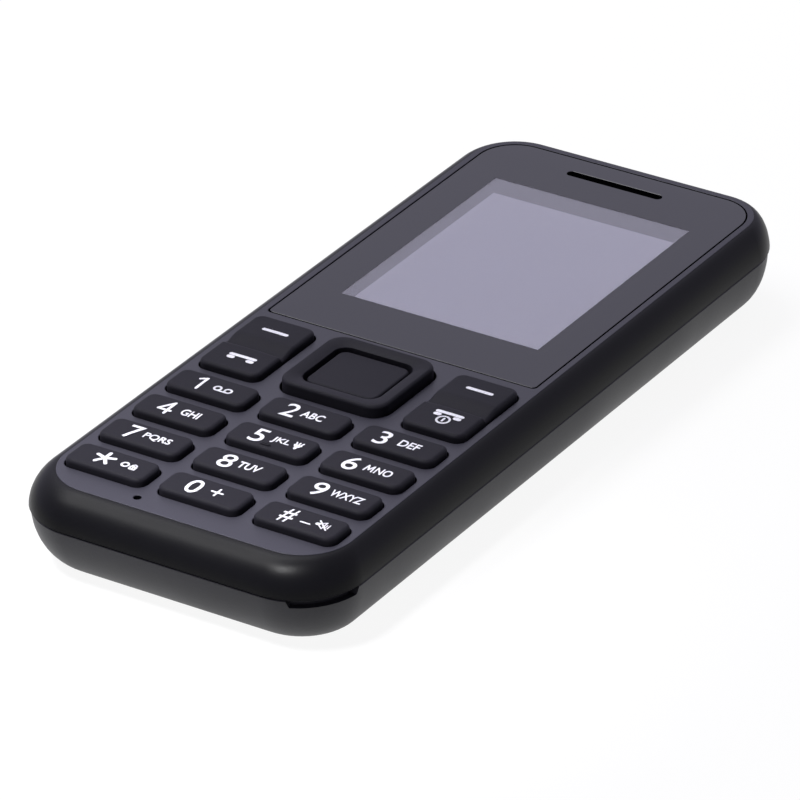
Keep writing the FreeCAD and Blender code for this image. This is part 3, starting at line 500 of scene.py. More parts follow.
def divided(mesh, cuts):
    """The mesh with its faces split along planes, each given as an axis and a place on it."""
    build = bmesh.new()
    build.from_mesh(mesh)
    for axis, at in cuts:
        point, normal = Vector(), Vector()
        point[axis], normal[axis] = at, 1
        bmesh.ops.bisect_plane(build, geom=list(build.verts) + list(build.edges) + list(build.faces),
                               plane_co=point, plane_no=normal)
    build.to_mesh(mesh)
    build.free()
    return mesh


def copied(name):
    """Joined-up copy of a CAD node's mesh, in metres."""
    build = bmesh.new()
    build.from_mesh(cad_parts[name].data)
    build.transform(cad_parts[name].matrix_world)
    bmesh.ops.remove_doubles(build, verts=build.verts, dist=1e-7)
    mesh = bpy.data.meshes.new(name)
    build.to_mesh(mesh)
    build.free()
    return mesh


# %% Cutters with a rounded rim
PROUD, FLARE = 0.5, 0.2      # how far a cutter stands out of the hole and widens there, mm


def cutter(half, low, high, corner, z_low, z_top, rim=0.12, x=0.0, corner_high=None, steps=8):
    """Upright cutter that flares at z_top, so that the hole's edge is rounded by rim."""
    corner_high = corner if corner_high is None else corner_high
    levels = [(z_low, 0.0)]
    for angle in (0, 30, 60, 84):
        turn = math.radians(angle)
        levels.append((z_top - rim + rim * math.sin(turn), rim - rim * math.cos(turn)))
    levels.append((z_top + PROUD, rim + FLARE))
    return loft([outline(half + out, low - out, high + out, corner + out, corner_high + out, z, steps, x)
                 for z, out in levels])


def prism(width, length, z_low, z_high, x=0.0, y=0.0, corner=0.05, steps=2):
    """Upright block centred on x, y."""
    return loft([outline(width / 2, y - length / 2, y + length / 2, corner, corner, z, steps, x)
                 for z in (z_low, z_high)])


def barrel(radius, y_low, y_high, x, z, sides=40):
    """Round cutter or rod along Y."""
    rings = []
    for y in (y_low, y_high):
        turn = [2 * math.pi * i / sides for i in range(sides)]
        rings.append([(x + radius * math.cos(a), y, z - radius * math.sin(a)) for a in turn])
    return loft(rings)


print("mesh helpers ready")

# %% [markdown]
# ## Front housing
# On the real phone one moulding carries the flat deck, the flank that swells out past it, and the holes for
# every key. The swell follows a superellipse, so a formula gives each ring. A tiny rounded edge separates
# the deck from the flank. Deck and flank come from the same mould; the flank has a coarser texture and a
# much darker colour than the deck, and that darkness is painted shade for the sides that turn from the lamps.

# %% Front housing
DECK, SHOULDER, SEAM, UNDERSIDE = 11.5, 11.42, 7.4, 10.2    # levels above the table, mm
DECK_HALF, DECK_LOW, DECK_HIGH = 20.0, -50.3, 52.2
CORNER_LOW, CORNER_HIGH, DECK_EDGE = 6.5, 6.0, 0.07         # radii of the deck's corners and of its edge
BULGE_SIDE, BULGE_LOW, BULGE_HIGH = 2.5, 3.7, 1.8           # how far the flank swells out past the deck
LENS_HALF, LENS_LOW, LENS_HIGH = 19.0, -2.46, 51.2
LENS_CORNER, EAR_CORNER = 0.6, 5.0                          # radii of the lens, at the keys and at the ear
SQUARENESS = 1.9                                            # exponent of the superellipse; 2 is an ellipse
WALL = 1.1                                                  # of the housing


def flank(turn, inset=0.0):
    """Housing outline where the flank has turned that many degrees down from the shoulder, and its height."""
    out = math.sin(math.radians(turn)) ** (2 / SQUARENESS)
    z = SHOULDER - (SHOULDER - SEAM) * (1 - math.cos(math.radians(turn)) ** (2 / SQUARENESS))
    return (DECK_HALF + BULGE_SIDE * out - inset, DECK_LOW - BULGE_LOW * out + inset,
            DECK_HIGH + BULGE_HIGH * out - inset, CORNER_LOW + 2.1 * out - inset,
            CORNER_HIGH + 2.9 * out - inset, z)


rings = [outline(*flank(90, 0.1)[:5], SEAM + 0.1)]
rings += [outline(*flank(turn)[:5], max(flank(turn)[5], SEAM + 0.2)) for turn in range(90, 0, -4)]
rings += [outline(DECK_HALF, DECK_LOW, DECK_HIGH, CORNER_LOW, CORNER_HIGH, DECK - DECK_EDGE)]
for angle in (30, 60, 90):
    drawn = DECK_EDGE * (1 - math.cos(math.radians(angle)))
    rings.append(outline(DECK_HALF - drawn, DECK_LOW + drawn, DECK_HIGH - drawn, CORNER_LOW - drawn,
                         CORNER_HIGH - drawn, DECK - DECK_EDGE + DECK_EDGE * math.sin(math.radians(angle))))
shell = loft(rings)
inner_levels = ((90, SEAM - 1), (86, SEAM + 1), (60, 9.4), (44, UNDERSIDE))
room = loft([outline(*flank(turn, WALL)[:5], z) for turn, z in inner_levels])
shell = combined(shell, room, "DIFFERENCE")
# A shelf under the lens, which the lens is stuck to.
shelf = loft([outline(19.4, -3.56, 51.6, 0.6, 5.4, z) for z in (9.8, 10.4)])
shell = combined(shell, shelf, "UNION")
print("front housing before its holes:", len(shell.polygons), "faces")

# %% [markdown]
# ## Holes of the front housing
# The holes come from the same key boxes as the CAD keys, so each hole stays centred on its key. A small
# round hole at the end is the microphone's, and the earpiece end has the headphone, charging and torch
# openings, which the back cover shares.

# %% Holes of the front housing
KEY_CAP = (11.167, 4.75, 1.2)       # width, length, corner, mm
ROCKER_CAP = (8.6, 13.6, 1.3)
NAV_CAP = (14.8, 13.5, 2.2)
MICROPHONE, MICROPHONE_RADIUS = (-6.8, -48.2), 0.5
JACK, CHARGING, TORCH = (8.6, 5.5), (-9.6, 7.0), (0, 6.1)   # x and z of the openings in the earpiece end
SOCKETS_FROM, SOCKETS_TO = 51.1, 60                         # where their cutters start and end along Y
EAR_Y = 47.4                                                # middle of the earpiece slot
number_keys = [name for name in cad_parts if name.startswith("key_") and name != "keypad_mat"]
rockers = ["left_rocker_key", "right_rocker_key"]


def sockets():
    """Cutters for the headphone, charging and torch openings in the earpiece end."""
    charging = loft([[(CHARGING[0] + x, y, CHARGING[1] + z)
                      for x, z, _ in outline(4.35, -1.825, 1.825, 0.7, 0.7, 0, 5)]
                     for y in (SOCKETS_TO, SOCKETS_FROM)])
    return merged([barrel(2.6, SOCKETS_FROM, SOCKETS_TO, *JACK), charging,
                   barrel(1.56, SOCKETS_FROM, SOCKETS_TO, *TORCH)])


def middle(name):
    """Middle of a CAD node seen from above, and its top, mm."""
    low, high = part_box(name)
    return (low.x + high.x) / 2 / MM, (low.y + high.y) / 2 / MM, high.z / MM


holes = []
for names, (width, length, corner), gap in ((number_keys, KEY_CAP, 0.2), (rockers, ROCKER_CAP, 0.2),
                                            (["nav_ring"], NAV_CAP, 0.3)):
    for name in names:
        x, y, _ = middle(name)
        holes.append(cutter(width / 2 + gap, y - length / 2 - gap, y + length / 2 + gap, corner + gap,
                            UNDERSIDE - 1.2, DECK, 0.12, x))
holes.append(cutter(MICROPHONE_RADIUS, MICROPHONE[1] - MICROPHONE_RADIUS, MICROPHONE[1] + MICROPHONE_RADIUS,
                    0.499, UNDERSIDE - 1, DECK, 0.08, MICROPHONE[0]))
holes.append(cutter(LENS_HALF + 0.2, LENS_LOW - 0.2, LENS_HIGH + 0.2, LENS_CORNER, 10.4, DECK, 0.06,
                    corner_high=EAR_CORNER + 0.2, steps=12))
shell = combined(shell, merged(holes), "DIFFERENCE")
window = prism(30.3, 37.76, 9, 10.8, 0, 23.92)
ear_slot = prism(13.8, 1.2, 9, 10.8, 0, EAR_Y, 0.55, 6)
shell = combined(shell, merged([window, ear_slot]), "DIFFERENCE")
shell = combined(shell, sockets(), "DIFFERENCE")
front = finished("front_shell", shell, "phone", [flank_plastic_painted_shade, deck_plastic],
                 ["front_housing"])
# Faces above the shoulder get the deck's colour and those below it the flank's darker one, which is painted
# shade.
for face in front.data.polygons:
    face.material_index = int(face.center.z > (SHOULDER + 0.005) * MM)

# %% [markdown]
# ## Back cover
# The cover is a thin shell that curves under into a flat back. Its rim stands a little inside the housing,
# which makes the fine dark seam. A thumb-nail slot is cut into the rim at the lower right corner, five
# slots let the loudspeaker out and a round window shows the camera.

# %% Back cover
COVER_TOP, COVER_EDGE, COVER_WALL = 7.3, 0.09, 1.0          # mm
SPEAKER, SLOT_PITCH = (-9.6, 38.5), 1.8                     # middle of the loudspeaker's slots
CAMERA_Y = 41.5


def under(turn, inset=0.0):
    """Cover outline where it has turned that many degrees under from the seam, and its height."""
    out = math.cos(math.radians(turn)) ** (2 / SQUARENESS)
    z = SEAM * (1 - math.sin(math.radians(turn)) ** (2 / SQUARENESS))
    return (18.1 + 4.25 * out - inset, -48.4 - 5.45 * out + inset, 50.3 + 3.55 * out - inset,
            5.2 + 3.4 * out - inset, 5.2 + 3.7 * out - inset, z)


def nail_slot():
    """Curved cutter round the lower right corner, with slanting ends."""
    centre, start, sweep, steps = Vector((13.9, -45.4)), -69, 65, 22     # mm, degrees
    rings = []
    for step in range(steps + 1):
        turn = math.radians(start + sweep * step / steps)
        side = Vector((math.cos(turn), math.sin(turn)))
        low, top = 6.4 + (0.9 if step in (0, steps) else 0.0), 8.5
        near, far = centre + 7.4 * side, centre + 10 * side
        rings.append([(near.x, near.y, low), (far.x, far.y, low), (far.x, far.y, top), (near.x, near.y, top)])
    return loft(rings)


def round_hole(radius, y, z_low, z_high, steps, x=0.0):
    """Upright round cutter centred on x, y."""
    corner = radius - 0.001
    return loft([outline(radius, y - radius, y + radius, corner, corner, z, steps, x)
                 for z in (z_low, z_high)])


rings = [outline(*under(turn)[:5], under(turn)[5]) for turn in range(90, 3, -4)]
rings += [outline(*under(0)[:5], COVER_TOP - COVER_EDGE), outline(*under(0, COVER_EDGE)[:5], COVER_TOP)]
tray = loft(rings)
inner_levels = ((62, 1.0), (45, 1.9), (28, 3.6), (10, 6.0), (0, 9.0))
room = loft([outline(*under(turn, COVER_WALL)[:5], z) for turn, z in inner_levels])
tray = combined(tray, room, "DIFFERENCE")
hooks = [prism(1.5, 4.0, 5.9, 6.7, side * 21.4, y) for side in (-1, 1) for y in (-36, -4, 26)]
tray = combined(tray, merged(hooks), "UNION")
tray = combined(tray, nail_slot(), "DIFFERENCE")
slots = [prism(7.0, 0.8, -1, 3, SPEAKER[0], SPEAKER[1] + SLOT_PITCH * step, 0.39, 6) for step in range(-2, 3)]
tray = combined(tray, merged(slots + [round_hole(3.0, CAMERA_Y, -1, 0.7, 16)]), "DIFFERENCE")
tray = combined(tray, round_hole(2.0, CAMERA_Y, -1, 3, 14), "DIFFERENCE")
tray = combined(tray, sockets(), "DIFFERENCE")
finished("back_shell", tray, "back_cover", [cover_plastic], ["back_cover"])

# %% [markdown]
# ## Lens
# The acrylic lens has a faint rounded edge and the earpiece slot milled through it. Its window is hollowed
# from behind. The black print is a separate thin layer just inside the back, open over the window and round
# the slot. The front gets two materials on one mesh, clear over the window and printed round it, for which
# its faces are first split along the window's sides.

# %% Lens and print
LENS_BACK, LENS_EDGE = 10.55, 0.08       # level of the lens's back and radius of its front edge, mm
CLEAR = (-13.86, 14.36, 5.87, 41.56)     # sides of the clear window; the print ends a little outside them
SKIN = 11.4                              # the window is thin, so that the display lies close behind it


def lens_outline(z, inset=0.0):
    """Outline of the lens at that height, drawn in by inset."""
    return outline(LENS_HALF - inset, LENS_LOW + inset, LENS_HIGH - inset, LENS_CORNER - inset,
                   EAR_CORNER - inset, z, 12)


lens = loft([lens_outline(LENS_BACK), lens_outline(DECK - LENS_EDGE), lens_outline(DECK - 0.023, 0.023),
             lens_outline(DECK, LENS_EDGE)])
lens = combined(lens, cutter(6.9, EAR_Y - 0.6, EAR_Y + 0.6, 0.599, 10.0, DECK, 0.06), "DIFFERENCE")
lens = combined(lens, prism(29.3, 36.9, 10, SKIN, 0.2, 23.7, 0.3, 4), "DIFFERENCE")
lens = divided(lens, [(0, CLEAR[0]), (0, CLEAR[1]), (1, CLEAR[2]), (1, CLEAR[3])])
lens = finished("display_lens_acrylic", lens, "phone", [acrylic, printed_gloss],
                ["display_lens"])
for face in lens.data.polygons:
    x, y, z = face.center / MM
    clear = CLEAR[0] < x < CLEAR[1] and CLEAR[2] < y < CLEAR[3]
    face.material_index = int(not clear and z > LENS_BACK + 0.05)

layer = loft([lens_outline(z, 0.03) for z in (LENS_BACK + 0.01, LENS_BACK + 0.03)])
openings = merged([prism(29.8, 37.3, 10, 11, 0.2, 23.75, 0.25, 4),
                   prism(13.9, 1.3, 10, 11, 0, EAR_Y, 0.6, 6)])
layer = combined(layer, openings, "DIFFERENCE")
finished("lens_print", layer, "phone", [ink])

# %% [markdown]
# ## Display glass
# The unlit display is two panes of glass with a polariser on each. Its edge stays under the foam gasket and
# its middle stands up through the gasket, close behind the lens. A block on a larger block gives that step,
# and only its top is ever seen.

# %% Display glass
PANES_LOW, PANES_STEP = 8.8, 9.5      # levels of the panes' back and of the step
AIR_GAP = 0.02                        # between the panes and the lens
panes = [outline(15.85, -0.31, 43.25, 0.3, 0.3, z, 4) for z in (PANES_LOW, PANES_STEP)]
panes += [outline(14.5, 5.4, 42.0, 0.3, 0.3, z, 4, 0.2) for z in (PANES_STEP, SKIN - AIR_GAP)]
finished("display_panes", loft(panes), "phone", [polariser], ["lcd_panel"])

# %% [markdown]
# ## Key caps by Geometry Nodes
# Twelve number keys, two rockers and the middle key are one shape with different sizes: a rounded rectangle
# with a soft rim and a slightly domed top, and on the rockers a hollow across the middle. A tree bends a
# flat grid into that shape. Its inputs are the real sizes, in metres. The grid runs from -1 to 1 and is
# drawn closer at the edges, where the rim needs more rows.


# %% Key cap tree
VALLEY_FOOT = 0.4      # length over which the hollow comes up again at its lip, mm


def cap_tree():
    """Geometry Nodes tree that makes a key cap."""
    tree = bpy.data.node_groups.new("key_cap", "GeometryNodeTree")
    tree.is_modifier = True
    for name in ("Width", "Length", "Corner", "Rim", "Crown", "Valley", "Slope", "Lip", "Bottom", "Top"):
        tree.interface.new_socket(name=name, in_out="INPUT", socket_type="NodeSocketFloat")
    for name, kind in (("Centre", "NodeSocketVector"), ("Columns", "NodeSocketInt"),
                       ("Rows", "NodeSocketInt"), ("Material", "NodeSocketMaterial")):
        tree.interface.new_socket(name=name, in_out="INPUT", socket_type=kind)
    tree.interface.new_socket(name="Geometry", in_out="OUTPUT", socket_type="NodeSocketGeometry")
    put = node(tree, "NodeGroupInput").outputs
    grid = node(tree, "GeometryNodeMeshGrid", {"Size X": 2.0, "Size Y": 2.0, "Vertices X": put["Columns"],
                                               "Vertices Y": put["Rows"]})
    place = node(tree, "GeometryNodeInputPosition")
    square = node(tree, "ShaderNodeVectorMath", {0: place, 1: place}, operation="MULTIPLY")
    bend = node(tree, "ShaderNodeVectorMath", {0: square, 1: (-0.5, -0.5, 0), 2: (1.5, 1.5, 0)},
                operation="MULTIPLY_ADD")
    spread = node(tree, "ShaderNodeVectorMath", {0: place, 1: bend}, operation="MULTIPLY")
    size = node(tree, "ShaderNodeCombineXYZ", {0: put["Width"], 1: put["Length"]})
    half = node(tree, "ShaderNodeVectorMath", {0: size, "Scale": 0.5}, operation="SCALE")
    flat = node(tree, "ShaderNodeVectorMath", {0: spread, 1: half}, operation="MULTIPLY")
    # Points in a corner square are drawn onto the corner's arc.
    away = node(tree, "ShaderNodeVectorMath", {0: flat}, operation="ABSOLUTE")
    radius = node(tree, "ShaderNodeCombineXYZ", {0: put["Corner"], 1: put["Corner"]})
    core = node(tree, "ShaderNodeVectorMath", {0: half, 1: radius}, operation="SUBTRACT")
    over = node(tree, "ShaderNodeVectorMath", {0: away, 1: core}, operation="SUBTRACT")
    over = node(tree, "ShaderNodeVectorMath", {0: over, 1: (0, 0, 0)}, operation="MAXIMUM")
    within = node(tree, "ShaderNodeVectorMath", {0: away, 1: core}, operation="MINIMUM")
    part = node(tree, "ShaderNodeSeparateXYZ", {0: over})
    reach = node(tree, "ShaderNodeMath", {0: part.outputs[0], 1: part.outputs[1]}, operation="MAXIMUM")
    length = node(tree, "ShaderNodeVectorMath", {0: over}, operation="LENGTH")
    length = node(tree, "ShaderNodeMath", {0: length.outputs["Value"], 1: 1e-9}, operation="MAXIMUM")
    factor = node(tree, "ShaderNodeMath", {0: reach, 1: length}, operation="DIVIDE")
    over = node(tree, "ShaderNodeVectorMath", {0: over, "Scale": factor}, operation="SCALE")
    total = node(tree, "ShaderNodeVectorMath", {0: within, 1: over}, operation="ADD")
    side = node(tree, "ShaderNodeVectorMath", {0: flat}, operation="SIGN")
    plan = node(tree, "ShaderNodeVectorMath", {0: total, 1: side}, operation="MULTIPLY")
    # The rim is a quarter circle of radius Rim, by distance from the outline.
    depth = node(tree, "ShaderNodeMath", {0: put["Corner"], 1: reach}, operation="SUBTRACT")
    depth = node(tree, "ShaderNodeMath", {0: depth, 1: put["Rim"]}, operation="MINIMUM")
    gone = node(tree, "ShaderNodeMath", {0: put["Rim"], 1: depth}, operation="SUBTRACT")
    gone2 = node(tree, "ShaderNodeMath", {0: gone, 1: gone}, operation="MULTIPLY")
    rim2 = node(tree, "ShaderNodeMath", {0: put["Rim"], 1: put["Rim"]}, operation="MULTIPLY")
    left = node(tree, "ShaderNodeMath", {0: rim2, 1: gone2}, operation="SUBTRACT")
    left = node(tree, "ShaderNodeMath", {0: left, 1: 0.0}, operation="MAXIMUM")
    rise = node(tree, "ShaderNodeMath", {0: left}, operation="SQRT")
    drop = node(tree, "ShaderNodeMath", {0: put["Rim"], 1: rise}, operation="SUBTRACT")
    # The crown falls off to the sides. The valley slopes down gently from Slope and comes up fast at Lip.
    share = node(tree, "ShaderNodeVectorMath", {0: plan, 1: half}, operation="DIVIDE")
    share = node(tree, "ShaderNodeVectorMath", {0: share, 1: share}, operation="MULTIPLY")
    share = node(tree, "ShaderNodeSeparateXYZ", {0: share})
    one = node(tree, "ShaderNodeMath", {0: 1.0, 1: share.outputs[0]}, operation="SUBTRACT")
    two = node(tree, "ShaderNodeMath", {0: 1.0, 1: share.outputs[1]}, operation="SUBTRACT")
    dome = node(tree, "ShaderNodeMath", {0: one, 1: two}, operation="MULTIPLY")
    dome = node(tree, "ShaderNodeMath", {0: 1.0, 1: dome}, operation="SUBTRACT")
    dome = node(tree, "ShaderNodeMath", {0: dome, 1: put["Crown"]}, operation="MULTIPLY")
    along = node(tree, "ShaderNodeSeparateXYZ", {0: plan})
    foot = node(tree, "ShaderNodeMath", {0: put["Lip"], 1: VALLEY_FOOT * MM}, operation="ADD")
    falling = node(tree, "ShaderNodeMapRange", {"Value": along.outputs[1], "From Min": put["Slope"],
                                                "From Max": foot}, interpolation_type="SMOOTHSTEP")
    rising = node(tree, "ShaderNodeMapRange", {"Value": along.outputs[1], "From Min": put["Lip"],
                                               "From Max": foot}, interpolation_type="SMOOTHSTEP")
    hollow = node(tree, "ShaderNodeMath", {0: falling, 1: rising}, operation="MULTIPLY")
    hollow = node(tree, "ShaderNodeMath", {0: hollow, 1: put["Valley"]}, operation="MULTIPLY")
    z = put["Top"]
    for fall in (drop, dome, hollow):
        z = node(tree, "ShaderNodeMath", {0: z, 1: fall}, operation="SUBTRACT")
    high = node(tree, "ShaderNodeCombineXYZ", {0: along.outputs[0], 1: along.outputs[1], 2: z})
    low = node(tree, "ShaderNodeCombineXYZ", {0: along.outputs[0], 1: along.outputs[1], 2: put["Bottom"]})
    high = node(tree, "ShaderNodeVectorMath", {0: high, 1: put["Centre"]}, operation="ADD")
    low = node(tree, "ShaderNodeVectorMath", {0: low, 1: put["Centre"]}, operation="ADD")
    top = node(tree, "GeometryNodeSetPosition", {"Geometry": grid, "Position": high})
    base = node(tree, "GeometryNodeSetPosition", {"Geometry": grid, "Position": low})
    base = node(tree, "GeometryNodeFlipFaces", {0: base})
    # The open edge of the top is drawn straight down to the base, and the three parts become one.
    edges = node(tree, "GeometryNodeInputMeshEdgeNeighbors")
    rimmed = node(tree, "FunctionNodeCompare", {2: edges, 3: 1}, data_type="INT", operation="EQUAL")
    edge_z = node(tree, "ShaderNodeSeparateXYZ", {0: place})
    down = node(tree, "ShaderNodeMath", {0: put["Bottom"], 1: edge_z.outputs[2]}, operation="SUBTRACT")
    down = node(tree, "ShaderNodeCombineXYZ", {2: down})
    walls = node(tree, "GeometryNodeExtrudeMesh", {"Mesh": top, "Selection": rimmed, "Offset": down,
                                                   "Offset Scale": 1.0}, mode="EDGES")
    whole = node(tree, "GeometryNodeJoinGeometry", {0: walls})
    tree.links.new(base.outputs[0], whole.inputs[0])
    whole = node(tree, "GeometryNodeMergeByDistance", {"Geometry": whole, "Distance": 2e-6})
    whole = node(tree, "GeometryNodeRealizeInstances", {0: whole})
    whole = node(tree, "GeometryNodeSetMaterial", {"Geometry": whole, "Material": put["Material"]})
    node(tree, "NodeGroupOutput", {0: whole})
    return tree


def grown(tree, values, points=None):
    """Mesh that a Geometry Nodes tree makes with these named inputs, in metres."""
    mesh = bpy.data.meshes.new("seed")
    mesh.from_pydata(points or [(0, 0, 0)], [], [])
    thing = bpy.data.objects.new("seed", mesh)
    scene.collection.objects.link(thing)
    change = thing.modifiers.new(tree.name, "NODES")
    change.node_group = tree
    for item in tree.interface.items_tree:
        if item.item_type == "SOCKET" and item.in_out == "INPUT" and item.name in values:
            change[item.identifier] = values[item.name]
    bpy.context.view_layer.update()
    return evaluated(thing)


caps = cap_tree()
print("key cap tree:", len(caps.nodes), "nodes")

# %% [markdown]
# ## Key caps
# Each cap gets the collar that stops it leaving its hole and the plunger that reaches the dome. They are
# plain blocks, because they stay under the deck. The middle number key has a small raised bar, which a
# finger finds without looking.

# %% Caps
CAP_LOW = 9.5
PLAIN = dict(valley=0.0, slope=2.0, lip=-1.3)                   # a cap without a hollow
NUMBER = dict(rim=0.45, crown=0.1, top=12.5, **PLAIN)           # mm
ROCKER = dict(rim=0.45, crown=0.1, top=12.5, valley=0.5, slope=1.9, lip=-1.4)
SELECT = dict(rim=0.3, crown=0.06, top=12.4, **PLAIN)
COLLAR = (CAP_LOW, 10.1)             # low and high of a collar
PLUNGER, PLUNGER_LOW = 2.4, 8.4      # side and foot of a plunger
ROCKER_ENDS = (-3.8, 3.8)            # places of a rocker's two plungers along Y
PIP_DOWN, PIP_LENGTH, PIP_WIDTH, PIP_CORNER = 1.55, 1.4, 0.44, 0.21


def cap_mesh(name, size, form, rows=33):
    """Cap of that size (width, length, corner) and form over the CAD key, in metres."""
    x, y, _ = middle(name)
    values = {key: value * MM for key, value in zip(("Width", "Length", "Corner"), size)}
    values.update({key.title(): value * MM for key, value in form.items()})
    values.update({"Bottom": CAP_LOW * MM, "Centre": (x * MM, y * MM, 0.0), "Columns": 49, "Rows": rows,
                   "Material": key_plastic})
    return grown(caps, values)


def plunger(x, y, top=9.55):
    """Square peg that presses the dome under a key."""
    return prism(PLUNGER, PLUNGER, PLUNGER_LOW, top, x, y)


def add_blocks(mesh, blocks):
    """The mesh, in metres, with plain blocks in millimetres beside it."""
    for block in blocks:
        block.transform(Matrix.Scale(MM, 4))
    return merged([mesh] + blocks)


def smooth(value, start, end):
    """The smooth step from 0 to 1 that a Map Range node makes."""
    share = min(max((value - start) / (end - start), 0.0), 1.0)
    return share * share * (3 - 2 * share)


def surface(size, form, x, y):
    """Height of a cap's top at x, y from its middle, by the tree's own rule."""
    dome = form["crown"] * (1 - (1 - (2 * x / size[0]) ** 2) * (1 - (2 * y / size[1]) ** 2))
    foot = form["lip"] + VALLEY_FOOT
    hollow = form["valley"] * smooth(y, form["slope"], foot) * smooth(y, form["lip"], foot)
    return form["top"] - dome - hollow


for name in number_keys:
    x, y, _ = middle(name)
    blocks = [prism(11.76, 5.35, *COLLAR, x, y), plunger(x, y)]
    if name == "key_5":
        low, high = y - PIP_DOWN - PIP_WIDTH / 2, y - PIP_DOWN + PIP_WIDTH / 2
        pip = [outline(PIP_LENGTH / 2 - inset, low + inset, high - inset, PIP_CORNER - inset / 2,
                       PIP_CORNER - inset / 2, z, 5, x)
               for inset, z in ((0, 12.2), (0, 12.55), (0.05, 12.62), (0.12, 12.65))]
        blocks.append(loft(pip))
    finished(name + "_cap", add_blocks(cap_mesh(name, KEY_CAP, NUMBER), blocks), name, [key_plastic],
             [name], scale=1)

for name in rockers:
    x, y, _ = middle(name)
    blocks = [prism(9.2, 3.2, *COLLAR, x, y)] + [plunger(x, y + end) for end in ROCKER_ENDS]
    finished(name + "_cap", add_blocks(cap_mesh(name, ROCKER_CAP, ROCKER, rows=141), blocks),
             name.replace("_key", ""), [key_plastic], [name], scale=1)

x, y, _ = middle("nav_select_key")
mesh = cap_mesh("nav_select_key", (9.9, 8.7, 1.2), SELECT)
blocks = [prism(3.6, 4.6, 8.65, 9.55, x, y), plunger(x, y, 9.5)]
finished("nav_select_cap", add_blocks(mesh, blocks), "nav_select", [key_plastic],
         ["nav_select_key"], scale=1)

# %% [markdown]
# ## Navigation ring
# The ring's cross-section is a soft outer edge, a top that falls towards the middle key and a crisp inner
# edge. Each ring of points lies between the outer outline and the inner one, so the corners stay round all
# the way.

# %% Navigation ring
NAV_HOLE = (10.9, 9.7, 1.7)                  # width, length, corner, mm
NAV_TOP, NAV_LOW, NAV_RIM = 12.9, 9.2, 0.42
NAV_Y = middle("nav_ring")[1]


def between(share, z):
    """Ring of points a share of the way from the outer outline to the inner one."""
    outer, inner = (outline(width / 2, -length / 2, length / 2, corner, corner, 0, 12)
                    for width, length, corner in (NAV_CAP, NAV_HOLE))
    return [(a[0] + (b[0] - a[0]) * share, NAV_Y + a[1] + (b[1] - a[1]) * share, z)
            for a, b in zip(outer, inner)]


profile = [(0.0, NAV_LOW), (0.0, NAV_TOP - NAV_RIM)]     # share of the way in, and height
for angle in (15, 30, 45, 60, 75, 90):
    turn = math.radians(angle)
    profile.append((0.2 * (1 - math.cos(turn)), NAV_TOP - NAV_RIM + NAV_RIM * math.sin(turn)))
profile += [(0.45, NAV_TOP - 0.05), (0.7, NAV_TOP - 0.15), (0.93, NAV_TOP - 0.28), (0.98, NAV_TOP - 0.32),
            (1.0, NAV_TOP - 0.4), (1.0, NAV_LOW)]
rings = [between(share, z) for share, z in profile]
count = len(rings[0])
points = [point for ring in rings for point in ring]
faces = []
for level in range(len(rings)):
    for i in range(count):
        here, there = level * count, (level + 1) % len(rings) * count
        faces.append([here + i, here + (i + 1) % count, there + (i + 1) % count, there + i])
mesh = bpy.data.meshes.new("ring")
mesh.from_pydata(points, [], faces)
feet = [prism(1.0, 1.0, 8.95, 9.25, 0, NAV_Y + side * 5.425) for side in (-1, 1)]
finished("nav_ring_cap", merged([mesh] + feet), "nav_ring", [key_plastic], ["nav_ring"])

# %% [markdown]
# ## Legends
# The keys are printed in white: a digit about 3 mm high with small letters beside it, and a few plain
# symbols. Digits and letters come from the built-in font, made bolder with an offset, and are fitted to the
# box that each one fills on its key. Symbols are drawn as strokes with round ends. All of it is laid onto
# the domed top as a film of ink 0.02 mm proud.

# %% Ink film
INK_PROUD, INK_SUNK = 0.02, 0.03       # how far the film stands out of a cap and reaches into it, mm
LONGEST_EDGE = 0.4                     # a longer edge of the print is split, mm
# Pad-printing ink lies thin and dries matte, so that its white stays even under the lamps.
ink_white = moulded_plastic("white_pad_printing_ink", "e9e8f1", grain=0.25, depth=0.001, roughness=0.55)


def letters(text, box, weight):
    """Flat faces of a word, fitted to box = left, right, low, high in mm from the key's middle."""
    curve = bpy.data.curves.new("word", "FONT")
    curve.body, curve.size, curve.offset, curve.resolution_u = text, 1.0, weight, 5
    thing = bpy.data.objects.new("word", curve)
    scene.collection.objects.link(thing)
    mesh = evaluated(thing)
    xs, ys = [v.co.x for v in mesh.vertices], [v.co.y for v in mesh.vertices]
    left, right, low, high = box
    wide, tall = (right - left) / (max(xs) - min(xs)), (high - low) / (max(ys) - min(ys))
    points = [(left + (v.co.x - min(xs)) * wide, low + (v.co.y - min(ys)) * tall) for v in mesh.vertices]
    faces = [list(face.vertices) for face in mesh.polygons]
    bpy.data.meshes.remove(mesh)
    return points, faces


def stroke(path, width, closed=False):
    """Flat faces of a line with round ends and joints through the points of path."""
    points, faces = [], []
    steps = list(zip(path, path[1:] + path[:1] if closed else path[1:]))
    for a, b in steps:
        a, b = Vector(a), Vector(b)
        turn = math.atan2(b.y - a.y, b.x - a.x)
        ring = []
        for centre, start in ((a, 90), (b, -90)):
            for k in range(7):
                angle = turn + math.radians(start + 30 * k)
                ring.append((centre.x + width / 2 * math.cos(angle), centre.y + width / 2 * math.sin(angle)))
        faces.append(list(range(len(points), len(points) + len(ring))))
        points += ring
    return points, faces


def arc(x, y, radius, start=0, end=360, count=20):
    """Points along an arc, whose angles are in degrees."""
    turns = [math.radians(start + (end - start) * k / count) for k in range(count + 1)]
    return [(x + radius * math.cos(turn), y + radius * math.sin(turn)) for turn in turns]


